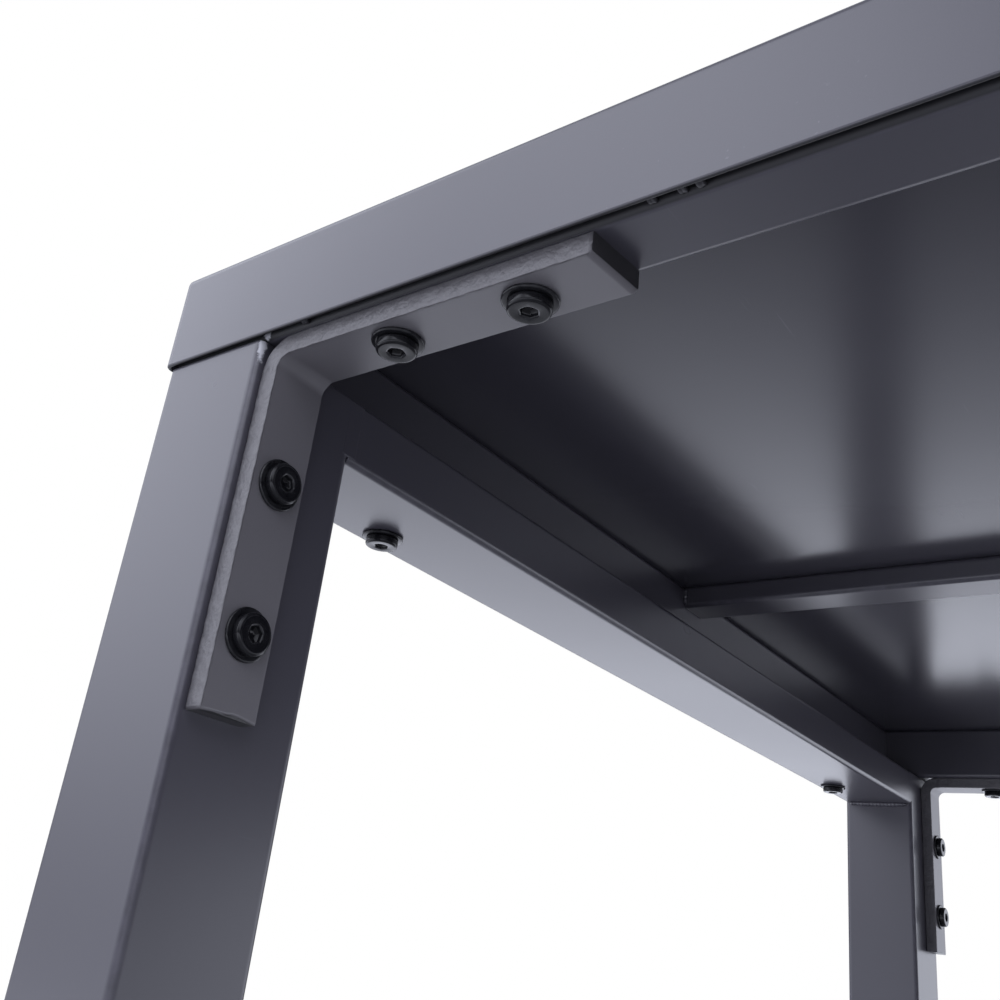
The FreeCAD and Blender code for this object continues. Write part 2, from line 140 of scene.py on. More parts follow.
class Shell:
    """Points and faces of one closed surface, with a mask of edges and one of sheared faces."""

    def __init__(self, grid, wrap_rows=True, wrap_columns=True, caps=(), edge=None, cut=None):
        rows, columns = grid.shape[:2]
        self.points = grid.reshape(-1, 3)
        self.quads = grid_faces(rows, columns, wrap_rows, wrap_columns)
        starts = {"first": 0, "last": (rows - 1) * columns}
        self.caps = [np.arange(columns) + starts[cap] for cap in caps]
        self.edge = self.spread(edge, rows, columns)
        self.cut = self.spread(cut, rows, columns)

    def spread(self, mask, rows, columns):
        """A mask given for columns, or for the whole grid, as one number for each point."""
        if mask is None:
            return np.zeros(rows * columns)
        return np.broadcast_to(mask, (rows, columns)).reshape(-1)

    def turned(self, matrix):
        self.points = self.points @ np.asarray(matrix).T
        return self

    def moved(self, offset):
        self.points = self.points + np.asarray(offset)
        return self


def make_piece(name, shells, material, body, nodes=()):
    """One object from one or more closed shells; it rides on a body and stands for CAD nodes.

    The mesh carries three masks for its materials: edge and cut on its points, and end, which is 1
    on the flat caps.
    """
    start, points, faces, edge, cut, smooth = 0, [], [], [], [], []
    for shell in shells:
        points.append(shell.points)
        faces += (shell.quads + start).tolist() + [(cap + start).tolist() for cap in shell.caps]
        smooth += [True] * len(shell.quads) + [False] * len(shell.caps)
        edge.append(shell.edge)
        cut.append(shell.cut)
        start += len(shell.points)
    mesh = bpy.data.meshes.new(name)
    mesh.from_pydata(np.concatenate(points).tolist(), [], faces)
    for label, values in (("edge", edge), ("cut", cut)):
        layer = mesh.attributes.new(label, "FLOAT", "POINT")
        layer.data.foreach_set("value", np.concatenate(values).astype(np.float32))
    mesh.polygons.foreach_set("use_smooth", smooth)
    ends = mesh.attributes.new("end", "FLOAT", "FACE")
    ends.data.foreach_set("value", 1 - np.array(smooth, np.float32))
    work = bmesh.new()
    work.from_mesh(mesh)
    bmesh.ops.remove_doubles(work, verts=work.verts, dist=1e-7)
    bmesh.ops.recalc_face_normals(work, faces=work.faces)
    work.to_mesh(mesh)
    work.free()
    mesh.materials.append(material)
    piece = bpy.data.objects.new(name, mesh)
    bpy.context.collection.objects.link(piece)
    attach(piece, body)
    if nodes:
        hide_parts(*nodes)
    return piece


def restyle(name, material):
    """Gives a carried-over CAD node a procedural material."""
    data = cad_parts[name].data
    data.materials.clear()
    data.materials.append(material)


# ---- profiles ----------------------------------------------------------------------------------
def rounded_loop(half_a, half_b, radius, turns=7, support=0.35 * MM, fill=(0, 0)):
    """Rounded rectangle, anticlockwise, with a support point on the flat beside each arc.

    Each corner is the corner of the rectangle, less the radius, plus the radius times the cosine
    and sine of a quarter turn. The flats along b and along a may hold evenly spaced extra points.
    Returns the points and a mask that peaks in the middle of the arcs.
    """
    support = min(support, 0.4 * (min(half_a, half_b) - radius))
    arcs = []
    for k, (sa, sb) in enumerate(((1, -1), (1, 1), (-1, 1), (-1, -1))):
        turn = np.radians(90 * (k - 1)) + np.linspace(0, np.pi / 2, turns)
        arc = np.stack([np.cos(turn), np.sin(turn)], 1) * radius
        arcs.append(arc + [sa * (half_a - radius), sb * (half_b - radius)])
    points, mask = [], []
    for k, arc in enumerate(arcs):
        start, stop = arc[-1], arcs[(k + 1) % 4][0]
        step = (stop - start) / max(np.linalg.norm(stop - start), 1e-9) * support
        flat = np.linspace(start + step, stop - step, fill[k % 2] + 2)
        points += [arc, flat]
        mask += [np.sin(np.linspace(0, np.pi, turns)), np.zeros(len(flat))]
    return np.concatenate(points), np.concatenate(mask)


def circle(radius, count):
    """Radius times the cosine and sine of even turns."""
    turn = np.linspace(0, 2 * np.pi, count, endpoint=False)
    return np.stack([np.cos(turn), np.sin(turn)], 1) * radius


def placed(a, b, c, axis):
    """Coordinates along two cross directions and the axis, put in X, Y, Z order."""
    order = {0: (c, a, b), 1: (b, c, a), 2: (a, b, c)}[axis]
    return np.stack(np.broadcast_arrays(*order), -1)


def tube_shell(low, high, axis, corner=None, wall=None):
    """Walls of an open tube, as one surface closed both ways.

    The rounded rectangle is carried along the outside from one end to the other, turned in over a
    small deburred rim, brought back along the inside and turned out again.
    """
    corner = corner or sizes().tube_corner
    wall = wall or sizes().tube_wall
    d = sizes().deburr
    cross = [(axis + 1) % 3, (axis + 2) % 3]
    half = (high - low) / 2
    mid = (high + low) / 2
    z0, z1 = low[axis], high[axis]
    stations = [(0, z0 + d), (0, z0 + 4 * d), (0, z1 - 4 * d), (0, z1 - d), (0.3 * d, z1 - 0.3 * d),
                (d, z1), (wall - d, z1), (wall - 0.3 * d, z1 - 0.3 * d), (wall, z1 - d),
                (wall, z0 + d), (wall - 0.3 * d, z0 + 0.3 * d), (wall - d, z0), (d, z0),
                (0.3 * d, z0 + 0.3 * d)]
    rows, masks = [], []
    for inset, height in stations:
        loop, mask = rounded_loop(half[cross[0]] - inset, half[cross[1]] - inset,
                                  max(corner - inset, 0.4 * MM))
        rim = 0.6 if 0 < inset < wall else 0.0
        a, b = loop[:, 0] + mid[cross[0]], loop[:, 1] + mid[cross[1]]
        rows.append(placed(a, b, np.full(len(a), height), axis))
        masks.append(np.maximum(mask, rim))
    return Shell(np.stack(rows), edge=np.stack(masks))


def fillet_path(corners, radii, turns=7):
    """Polyline whose inner corners are replaced by tangent arcs of the given radii (2-D)."""
    corners = np.asarray(corners, float)
    path = [corners[:1]]
    for k in range(1, len(corners) - 1):
        back = corners[k - 1] - corners[k]
        ahead = corners[k + 1] - corners[k]
        back, ahead = back / np.linalg.norm(back), ahead / np.linalg.norm(ahead)
        half = np.arccos(np.clip(back @ ahead, -1, 1)) / 2
        reach = radii[k - 1] / np.tan(half)
        middle = (back + ahead) / np.linalg.norm(back + ahead)
        centre = corners[k] + middle * radii[k - 1] / np.sin(half)
        start, stop = corners[k] + back * reach - centre, corners[k] + ahead * reach - centre
        sweep = np.arctan2(start[0] * stop[1] - start[1] * stop[0], start @ stop)
        turn = np.linspace(0, sweep, turns)
        c, s = np.cos(turn), np.sin(turn)
        arc = np.stack([c * start[0] - s * start[1], s * start[0] + c * start[1]], 1) + centre
        path.append(arc)
    path.append(corners[-1:])
    return np.concatenate(path)


def sheet_loop(corners, radii, thickness):
    """Closed outline of a bent sheet: its middle line moved half a thickness to each side."""
    line = fillet_path(corners, radii)
    ahead = np.gradient(line, axis=0)
    ahead /= np.linalg.norm(ahead, axis=1)[:, None]
    side = np.stack([-ahead[:, 1], ahead[:, 0]], 1) * thickness / 2
    trim = thickness * 0.15
    left, right = line + side, line - side
    ease = ahead[[0, -1]] * trim
    left_in = np.concatenate([left[:1] + ease[:1], left[1:-1], left[-1:] - ease[1:]])
    right_in = np.concatenate([right[:1] + ease[:1], right[1:-1], right[-1:] - ease[1:]])
    tip_a = line[-1:] + side[-1:] * 0.7
    tip_b = line[-1:] - side[-1:] * 0.7
    root_a = line[:1] - side[:1] * 0.7
    root_b = line[:1] + side[:1] * 0.7
    return np.concatenate([left_in, tip_a, tip_b, right_in[::-1], root_a, root_b])


def prism_shell(loop, axis, z0, z1, ease=None):
    """Closed outline carried straight along the axis, its two ends drawn in by a small bevel."""
    ease = ease or sizes().deburr
    centre = loop.mean(0)
    ahead = np.roll(loop, -1, 0) - np.roll(loop, 1, 0)
    ahead /= np.maximum(np.linalg.norm(ahead, axis=1), 1e-9)[:, None]
    inward = np.stack([-ahead[:, 1], ahead[:, 0]], 1)
    area = np.sum(loop[:, 0] * np.roll(loop[:, 1], -1) - loop[:, 1] * np.roll(loop[:, 0], -1))
    inward *= np.sign(area)
    rows, masks = [], []
    for inset, height in ((ease, z0), (0, z0 + ease), (0, z0 + 3 * ease), (0, z1 - 3 * ease),
                          (0, z1 - ease), (ease, z1)):
        ring = loop + inward * inset
        rows.append(placed(ring[:, 0], ring[:, 1], np.full(len(ring), height), axis))
        masks.append(np.full(len(ring), 0.7 if inset else 0.0))
    return Shell(np.stack(rows), wrap_rows=False, caps=("first", "last"), edge=np.stack(masks))


def lathe_shell(profile, count=48, edge=None):
    """Profile of (radius, height) pairs turned about Z; closed where the profile meets the axis."""
    turn = np.linspace(0, 2 * np.pi, count, endpoint=False)
    radius, height = profile[:, 0:1], profile[:, 1:2]
    grid = np.stack([radius * np.cos(turn), radius * np.sin(turn),
                     np.broadcast_to(height, (len(profile), count))], -1)
    mask = None if edge is None else np.broadcast_to(edge[:, None], grid.shape[:2])
    return Shell(grid, wrap_rows=True, edge=mask)


def onto(direction):
    """Rotation that takes +Z to one of the six axis directions."""
    x, y, z = direction
    if abs(z) > 0.5:
        return np.diag([1.0, np.sign(z), np.sign(z)])
    if abs(x) > 0.5:
        return np.array([[0, 0, x], [0, x, 0], [-1.0, 0, 0]]) if x > 0 else \
            np.array([[0, 0, -1.0], [0, 1.0, 0], [1.0, 0, 0]])
    return np.array([[1.0, 0, 0], [0, 0, y], [0, -y, 0]])


# ---- shader node groups ------------------------------------------------------------------------
def new_group(name, inputs, outputs):
    """Empty shader node group with named sockets: (name, kind, default) in, (name, kind) out."""
    tree = bpy.data.node_groups.new(name, "ShaderNodeTree")
    for label, kind, default in inputs:
        socket = tree.interface.new_socket(label, in_out="INPUT", socket_type=kind)
        socket.default_value = default
    for label, kind in outputs:
        tree.interface.new_socket(label, in_out="OUTPUT", socket_type=kind)
    return tree, tree.nodes.new("NodeGroupInput"), tree.nodes.new("NodeGroupOutput")


def node(tree, kind, values=(), **settings):
    """New node with its settings and the values of its sockets."""
    made = tree.nodes.new(kind)
    for key, value in settings.items():
        setattr(made, key, value)
    for key, value in dict(values).items():
        made.inputs[key].default_value = value
    return made


def math_node(tree, operation, a, b=0.0, clamp=False):
    """Output of a Math node whose two inputs are numbers or sockets."""
    made = node(tree, "ShaderNodeMath", operation=operation, use_clamp=clamp)
    for k, value in enumerate((a, b)):
        if isinstance(value, (int, float)):
            made.inputs[k].default_value = value
        else:
            tree.links.new(value, made.inputs[k])
    return made.outputs[0]


def added(tree, value, mask, amount):
    """The value plus the mask times the amount."""
    return math_node(tree, "ADD", value, math_node(tree, "MULTIPLY", mask, amount))


def mapped(tree, value, low, high, out_low=0.0, out_high=1.0):
    """The value carried in a straight line from one range to another, and held at its ends."""
    made = node(tree, "ShaderNodeMapRange", {"From Min": low, "From Max": high,
                                             "To Min": out_low, "To Max": out_high})
    tree.links.new(value, made.inputs["Value"])
    return made.outputs["Result"]


FLOAT, COLOUR, VECTOR = "NodeSocketFloat", "NodeSocketColor", "NodeSocketVector"


def orange_peel_group():
    """Powder coat: a fine pebbled skin over a slow swell, as one height in metres."""
    tree, inp, out = new_group("Orange peel", [
        ("Vector", VECTOR, (0, 0, 0)), ("Pebble size", FLOAT, 1.4 * MM),
        ("Pebble depth", FLOAT, 0.006 * MM), ("Swell depth", FLOAT, 0.05 * MM),
    ], [("Height", FLOAT), ("Speckle", FLOAT)])
    scale = math_node(tree, "DIVIDE", 1.0, inp.outputs["Pebble size"])
    pebble = node(tree, "ShaderNodeTexNoise", {"Detail": 2.0, "Roughness": 0.5})
    swell = node(tree, "ShaderNodeTexNoise", {"Scale": 26.0, "Detail": 1.0})
    grit = node(tree, "ShaderNodeTexNoise", {"Scale": 2600.0, "Detail": 1.0})
    tree.links.new(scale, pebble.inputs["Scale"])
    for texture in (pebble, swell, grit):
        tree.links.new(inp.outputs["Vector"], texture.inputs["Vector"])
    small = math_node(tree, "MULTIPLY", pebble.outputs[0], inp.outputs["Pebble depth"])
    large = math_node(tree, "MULTIPLY", swell.outputs[0], inp.outputs["Swell depth"])
    tree.links.new(math_node(tree, "ADD", small, large), out.inputs["Height"])
    tree.links.new(grit.outputs[0], out.inputs["Speckle"])
    return tree


def handling_group():
    """Marks of use: soft cloudy smudges, a few short thin scratches and a few pin-head specks."""
    tree, inp, out = new_group("Handling marks", [
        ("Vector", VECTOR, (0, 0, 0)), ("Scratch amount", FLOAT, 0.5), ("Specks", FLOAT, 0.5),
    ], [("Smudge", FLOAT), ("Scratch", FLOAT), ("Speck", FLOAT)])
    smudge = node(tree, "ShaderNodeTexNoise", {"Scale": 9.0, "Detail": 3.0, "Roughness": 0.45})
    speck = node(tree, "ShaderNodeTexVoronoi", {"Scale": 55.0})
    stretch = node(tree, "ShaderNodeMapping", {"Rotation": (0.4, 0.3, 0.7),
                                               "Scale": (1.0, 0.03, 1.0)})
    thin = node(tree, "ShaderNodeTexNoise", {"Scale": 900.0, "Detail": 1.0})
    tree.links.new(inp.outputs["Vector"], stretch.inputs["Vector"])
    tree.links.new(stretch.outputs[0], thin.inputs["Vector"])
    where = node(tree, "ShaderNodeTexNoise", {"Scale": 25.0, "Detail": 2.0})
    for texture in (smudge, speck, where):
        tree.links.new(inp.outputs["Vector"], texture.inputs["Vector"])
    tree.links.new(mapped(tree, smudge.outputs[0], 0.1, 0.9), out.inputs["Smudge"])
    dot = mapped(tree, speck.outputs["Distance"], 0.035, 0.02)
    chosen = node(tree, "ShaderNodeSeparateColor")
    tree.links.new(speck.outputs["Color"], chosen.inputs[0])
    rare = mapped(tree, chosen.outputs[0], 0.93, 0.95)
    dot = math_node(tree, "MULTIPLY", dot, rare, True)
    tree.links.new(math_node(tree, "MULTIPLY", dot, inp.outputs["Specks"]), out.inputs["Speck"])
    line = mapped(tree, thin.outputs[0], 0.72, 0.78)
    sparse = mapped(tree, where.outputs[0], 0.6, 0.68)
    scratch = math_node(tree, "MULTIPLY", line, sparse, True)
    tree.links.new(math_node(tree, "MULTIPLY", scratch, inp.outputs["Scratch amount"]),
                   out.inputs["Scratch"])
    return tree


def torn_group():
    """Torn grain of sheared steel: short strokes along the cut with finer grit on them."""
    tree, inp, out = new_group("Torn steel", [
        ("Vector", VECTOR, (0, 0, 0)), ("Depth", FLOAT, 0.1 * MM),
    ], [("Height", FLOAT)])
    stroke = node(tree, "ShaderNodeTexNoise", {"Scale": 1000.0, "Detail": 2.0, "Roughness": 0.5})
    ripple = node(tree, "ShaderNodeTexNoise", {"Scale": 420.0, "Detail": 1.0})
    for texture in (stroke, ripple):
        tree.links.new(inp.outputs["Vector"], texture.inputs["Vector"])
    both = added(tree, stroke.outputs[0], ripple.outputs[0], 1.6)
    tree.links.new(math_node(tree, "MULTIPLY", both, inp.outputs["Depth"]), out.inputs["Height"])
    return tree


def ground_group():
    """Ground spot: 1 inside a ragged ellipsoid about a centre that is mirrored to all corners."""
    tree, inp, out = new_group("Ground spot", [
        ("Vector", VECTOR, (0, 0, 0)), ("Centre", VECTOR, (0, 0, 0)),
        ("Reach", VECTOR, (1, 1, 1)),
    ], [("Mask", FLOAT)])
    mirror = node(tree, "ShaderNodeVectorMath", operation="ABSOLUTE")
    offset = node(tree, "ShaderNodeVectorMath", operation="SUBTRACT")
    scaled = node(tree, "ShaderNodeVectorMath", operation="DIVIDE")
    length = node(tree, "ShaderNodeVectorMath", operation="LENGTH")
    ragged = node(tree, "ShaderNodeTexNoise", {"Scale": 700.0, "Detail": 4.0, "Roughness": 0.7})
    tree.links.new(inp.outputs["Vector"], mirror.inputs[0])
    tree.links.new(mirror.outputs[0], offset.inputs[0])
    tree.links.new(inp.outputs["Centre"], offset.inputs[1])
    tree.links.new(offset.outputs[0], scaled.inputs[0])
    tree.links.new(inp.outputs["Reach"], scaled.inputs[1])
    tree.links.new(scaled.outputs[0], length.inputs[0])
    tree.links.new(inp.outputs["Vector"], ragged.inputs["Vector"])
    away = added(tree, length.outputs["Value"], ragged.outputs[0], 1.3)
    tree.links.new(mapped(tree, away, 1.5, 1.25), out.inputs["Mask"])
    return tree


def edge_group():
    """Thin coat on edges: the edge mask broken up by noise."""
    tree, inp, out = new_group("Thin edges", [
        ("Vector", VECTOR, (0, 0, 0)), ("Edge", FLOAT, 0.0), ("Amount", FLOAT, 0.5),
    ], [("Mask", FLOAT)])
    noise = node(tree, "ShaderNodeTexNoise", {"Scale": 240.0, "Detail": 3.0, "Roughness": 0.65})
    tree.links.new(inp.outputs["Vector"], noise.inputs["Vector"])
    broken = mapped(tree, noise.outputs[0], 0.35, 0.65)
    mask = math_node(tree, "MULTIPLY", inp.outputs["Edge"], broken)
    tree.links.new(math_node(tree, "MULTIPLY", mask, inp.outputs["Amount"], True),
                   out.inputs["Mask"])
    return tree


def group_node(tree, name, vector, values=()):
    """One of the shader groups placed in a material; the group is made at its first use."""
    makers = {"Orange peel": orange_peel_group, "Handling marks": handling_group,
              "Thin edges": edge_group, "Torn steel": torn_group, "Ground spot": ground_group}
    group = bpy.data.node_groups.get(name) or makers[name]()
    made = node(tree, "ShaderNodeGroup", node_tree=group)
    for key, value in dict(values).items():
        made.inputs[key].default_value = value
    tree.links.new(vector, made.inputs["Vector"])
    return made


def tinted(tree, colour, mask, other):
    """A colour mixed towards another where the mask is 1."""
    mix = node(tree, "ShaderNodeMix", data_type="RGBA")
    for socket, value in ((mix.inputs[6], colour), (mix.inputs[7], other)):
        if isinstance(value, (tuple, list)):
            socket.default_value = value
        else:
            tree.links.new(value, socket)
    tree.links.new(mask, mix.inputs[0])
    return mix.outputs[2]


def rgba(colour, factor=1.0):
    """Colour times a factor, opaque."""
    return tuple(min(1.0, c * factor) for c in colour) + (1.0,)


def new_material(name, **shader):
    """Material with a Principled shader whose plain values are set on its own sockets."""
    material = bpy.data.materials.new(name)
    material.use_nodes = True
    tree = material.node_tree
    principled = tree.nodes["Principled BSDF"]
    for key, value in shader.items():
        principled.inputs[key.replace("_", " ")].default_value = value
    place = tree.nodes.new("ShaderNodeTexCoord").outputs["Object"]
    return material, tree, principled, place


def coat_material(name, colour, roughness, peel, swell, scratches=0.2, specks=0.3, edges=0.4,
                  torn=0.0, spot=None):
    """Satin powder coat over steel.

    Pebbled skin, cloudy marks and a thinner, lighter coat on the edges. The cut mask is torn grain
    on a piece with sheared faces, whose flat ends are darkened as painted shade, and on others
    painted shade down in a seam: a darker, rougher coat where shade falls. A ground spot may be
    left bare.
    """
    material, tree, shader, place = new_material(name, IOR=1.5)
    skin = group_node(tree, "Orange peel", place, {"Pebble depth": peel, "Swell depth": swell})
    marks = group_node(tree, "Handling marks", place, {"Scratch amount": scratches,
                                                       "Specks": specks})
    edge = node(tree, "ShaderNodeAttribute", attribute_name="edge")
    thin = group_node(tree, "Thin edges", place, {"Amount": edges})
    tree.links.new(edge.outputs["Fac"], thin.inputs["Edge"])
    base = tinted(tree, rgba(colour), mapped(tree, skin.outputs["Speckle"], 0.3, 0.7, 0.0, 0.5),
                  rgba(colour, 1.12))
    base = tinted(tree, base, mapped(tree, marks.outputs["Smudge"], 0, 1, 0.0, 0.5),
                  rgba(colour, 1.3))
    base = tinted(tree, base, thin.outputs["Mask"], rgba(colour, 2.2))
    base = tinted(tree, base, marks.outputs["Scratch"], rgba(colour, 3.0))
    base = tinted(tree, base, marks.outputs["Speck"], (0.42, 0.42, 0.44, 1))
    rough = mapped(tree, marks.outputs["Smudge"], 0, 1, roughness - 0.02, roughness + 0.03)
    height = skin.outputs["Height"]
    cut = node(tree, "ShaderNodeAttribute", attribute_name="cut")
    if not torn:
        # painted shade: where the cut mask is 1 the coat is darkened to a quarter and made rougher,
        # in the seam, on the lips and on the tack welds
        base = tinted(tree, base, cut.outputs["Fac"], rgba(colour, 0.25))
        rough = added(tree, rough, cut.outputs["Fac"], 0.35)
    else:
        base = tinted(tree, base, mapped(tree, cut.outputs["Fac"], 0, 1, 0.0, 0.6),
                      rgba(colour, 0.6))
        # painted shade: the flat end caps of the bar are darkened to a quarter of the coat colour
        end = node(tree, "ShaderNodeAttribute", attribute_name="end")
        base = tinted(tree, base, end.outputs["Fac"], rgba(colour, 0.25))
        grain = group_node(tree, "Torn steel", place, {"Depth": torn})
        height = added(tree, height, grain.outputs["Height"], cut.outputs["Fac"])
        rough = added(tree, rough, cut.outputs["Fac"], 0.08)
    if spot:
        ground = group_node(tree, "Ground spot", place, {"Centre": spot[0], "Reach": spot[1]})
        base = tinted(tree, base, ground.outputs["Mask"], (0.4, 0.4, 0.43, 1))
        rough = added(tree, rough, ground.outputs["Mask"], 0.2)
    tree.links.new(base, shader.inputs["Base Color"])
    tree.links.new(rough, shader.inputs["Roughness"])
    bump = node(tree, "ShaderNodeBump", {"Strength": 1.0, "Distance": 1.0})
    tree.links.new(height, bump.inputs["Height"])
    tree.links.new(bump.outputs[0], shader.inputs["Normal"])
    return material


def frame_coat():
    """Coat of the tubes, left ground bare where each leg's inner top corner was dressed."""
    if bpy.data.materials.get("Frame coat"):
        return bpy.data.materials["Frame coat"]
    low, high = box_of("leg_front_right")
    centre = (low[0] - 0.2 * MM, -low[1] - 0.9 * MM, high[2] - 0.5 * MM)
    return coat_material("Frame coat", colours().coat, 0.28, peel=0.004 * MM, swell=0.0,
                         spot=(centre, (1.9 * MM, 1.9 * MM, 9 * MM)))


def panel_coat():
    """Glossier coat of the folded sheet, with a slow swell."""
    return bpy.data.materials.get("Panel coat") or coat_material(
        "Panel coat", colours().coat, 0.2, peel=0.003 * MM, swell=0.06 * MM, scratches=0.3,
        specks=0.8)


def bracket_coat():
    """Rougher, paler coat of the bent bar, with torn grain on its sheared edges."""
    return bpy.data.materials.get("Bracket coat") or coat_material(
        "Bracket coat", colours().bracket, 0.36, peel=0.007 * MM, swell=0.10 * MM, edges=0.3,
        torn=0.2 * MM)


def black_screw():
    """Blackened steel with a thin glossy film and turning marks too fine to see one by one."""
    if bpy.data.materials.get("Black screw"):
        return bpy.data.materials["Black screw"]
    material, tree, shader, place = new_material(
        "Black screw", IOR=1.3)
    marks = group_node(tree, "Handling marks", place, {"Scratch amount": 0.5})
    edge = node(tree, "ShaderNodeAttribute", attribute_name="edge")
    thin = group_node(tree, "Thin edges", place, {"Amount": 0.7})
    tree.links.new(edge.outputs["Fac"], thin.inputs["Edge"])
    base = tinted(tree, rgba(colours().screw), marks.outputs["Smudge"], rgba(colours().screw, 1.6))
    base = tinted(tree, base, thin.outputs["Mask"], (0.05, 0.05, 0.053, 1))
    tree.links.new(base, shader.inputs["Base Color"])
    tree.links.new(mapped(tree, marks.outputs["Smudge"], 0, 1, 0.1, 0.17),
                   shader.inputs["Roughness"])
    grain = node(tree, "ShaderNodeTexNoise", {"Scale": 1500.0, "Detail": 2.0})
    tree.links.new(place, grain.inputs["Vector"])
    bump = node(tree, "ShaderNodeBump", {"Strength": 0.3, "Distance": 0.01 * MM})
    tree.links.new(grain.outputs[0], bump.inputs["Height"])
    tree.links.new(bump.outputs[0], shader.inputs["Normal"])
    return material


def zinc_steel():
    """Bright zinc on rolled steel: faint long draw lines and cloudy crystals."""
    if bpy.data.materials.get("Zinc steel"):
        return bpy.data.materials["Zinc steel"]
    material, tree, shader, place = new_material("Zinc steel", Metallic=1.0)
    stretch = node(tree, "ShaderNodeMapping", {"Scale": (1.0, 0.03, 1.0)})
    tree.links.new(place, stretch.inputs["Vector"])
    lines = node(tree, "ShaderNodeTexNoise", {"Scale": 1400.0, "Detail": 3.0})
    cloud = node(tree, "ShaderNodeTexVoronoi", {"Scale": 160.0})
    tree.links.new(stretch.outputs[0], lines.inputs["Vector"])
    tree.links.new(place, cloud.inputs["Vector"])
    base = tinted(tree, rgba(colours().zinc), mapped(tree, cloud.outputs["Distance"], 0, 0.8),
                  rgba(colours().zinc, 0.82))
    tree.links.new(base, shader.inputs["Base Color"])
    tree.links.new(mapped(tree, lines.outputs[0], 0.3, 0.7, 0.28, 0.42),
                   shader.inputs["Roughness"])
    bump = node(tree, "ShaderNodeBump", {"Strength": 0.4, "Distance": 0.01 * MM})
    tree.links.new(lines.outputs[0], bump.inputs["Height"])
    tree.links.new(bump.outputs[0], shader.inputs["Normal"])
    return material


def plain_grain(name, colour, roughness, depth):
    """Moulded plastic or rubber with a fine spark-eroded grain."""
    if bpy.data.materials.get(name):
        return bpy.data.materials[name]
    material, tree, shader, place = new_material(name, IOR=1.48)
    grain = node(tree, "ShaderNodeTexVoronoi", {"Scale": 1500.0})
    cloud = node(tree, "ShaderNodeTexNoise", {"Scale": 90.0, "Detail": 3.0})
    tree.links.new(place, grain.inputs["Vector"])
    tree.links.new(place, cloud.inputs["Vector"])
    tree.links.new(tinted(tree, rgba(colour), cloud.outputs[0], rgba(colour, 1.5)),
                   shader.inputs["Base Color"])
    tree.links.new(mapped(tree, cloud.outputs[0], 0.3, 0.7, roughness - 0.05, roughness + 0.05),
                   shader.inputs["Roughness"])
    bump = node(tree, "ShaderNodeBump", {"Strength": 0.6, "Distance": depth})
    tree.links.new(grain.outputs["Distance"], bump.inputs["Height"])
    tree.links.new(bump.outputs[0], shader.inputs["Normal"])
    return material


def ball_steel():
    """Polished bearing steel with a trace of grease."""
    if bpy.data.materials.get("Ball steel"):
        return bpy.data.materials["Ball steel"]
    material, tree, shader, place = new_material("Ball steel", Metallic=1.0)
    grease = node(tree, "ShaderNodeTexNoise", {"Scale": 300.0, "Detail": 2.0})
    tree.links.new(place, grease.inputs["Vector"])
    tree.links.new(tinted(tree, (0.74, 0.74, 0.76, 1), grease.outputs[0], (0.6, 0.59, 0.55, 1)),
                   shader.inputs["Base Color"])
    tree.links.new(mapped(tree, grease.outputs[0], 0.3, 0.7, 0.06, 0.2),
                   shader.inputs["Roughness"])
    return material


def black_plastic():
    """Plastic of the glides."""
    return plain_grain("Black plastic", colours().plastic, 0.5, 0.02 * MM)


def bumper_rubber():
    """Rubber of the slides' bumpers."""
    return plain_grain("Bumper rubber", (0.025, 0.025, 0.026), 0.75, 0.03 * MM)


# ---- operators: the object ---------------------------------------------------------------------
class DeskOperator(bpy.types.Operator):
    """Common behaviour: one step that can be undone"""
    bl_options = {"REGISTER", "UNDO"}


def pan_shell(low, high, fold, sheet):
    """Folded sheet pan, open below, as one closed skin.

    A section of (inset, height) pairs runs from the inner ceiling down the inside of the skirt,
    round its lower lip and up the outside to the upper face. At each inset the plan is a rounded
    rectangle drawn in by that inset.
    """
    half = (high - low) / 2
    mid = (high + low) / 2
    z0, z1 = low[2], high[2]
    lip = sheet * 0.3
    quarter = np.linspace(0, np.pi / 2, 7)
    inner = fold - sheet
    inside = [(fold - inner * np.sin(t), z1 - fold + inner * np.cos(t)) for t in quarter]
    outside = [(fold - fold * np.cos(t), z1 - fold + fold * np.sin(t)) for t in quarter]
    section = [(fold + 0.4 * MM, z1 - sheet)] + inside
    section += [(sheet, z1 - fold - 0.4 * MM), (sheet, z0 + 2 * lip), (sheet, z0 + lip)]
    section += [(sheet - lip, z0), (lip, z0), (0, z0 + lip), (0, z0 + 2 * lip)]
    section += [(0, z1 - fold - 0.4 * MM)] + outside + [(fold + 0.4 * MM, z1)]
    rows, masks, shades = [], [], []
    for inset, height in section:
        loop, _ = rounded_loop(half[0] - inset, half[1] - inset, max(fold - inset, 0.3 * MM))
        rows.append(np.column_stack([loop + mid[:2], np.full(len(loop), height)]))
        on_lip = height < z0 + 1.5 * lip
        on_fold = 0 < inset < fold and height > z1 - fold
        masks.append(np.full(len(loop), 0.3 if on_fold else 0.0))
        # painted shade: the cut mask darkens the skirt's lower lip, where shade falls in the seam
        shades.append(np.full(len(loop), 1.0 if on_lip and inset > 0 else 0.0))
    return Shell(np.stack(rows), wrap_rows=False, caps=("first", "last"), edge=np.stack(masks),
                 cut=np.stack(shades))


class DESK_OT_top(DeskOperator):
    """Folded steel top"""
    bl_idname = "desk.top"
    bl_label = "Top"

    def execute(self, context):
        low, high = box_of("top_pan")
        shell = pan_shell(low, high, sizes().fold, sizes().sheet)
        make_piece("top_pan_skin", [shell], panel_coat(), "frame", ["top_pan"])
        return {"FINISHED"}


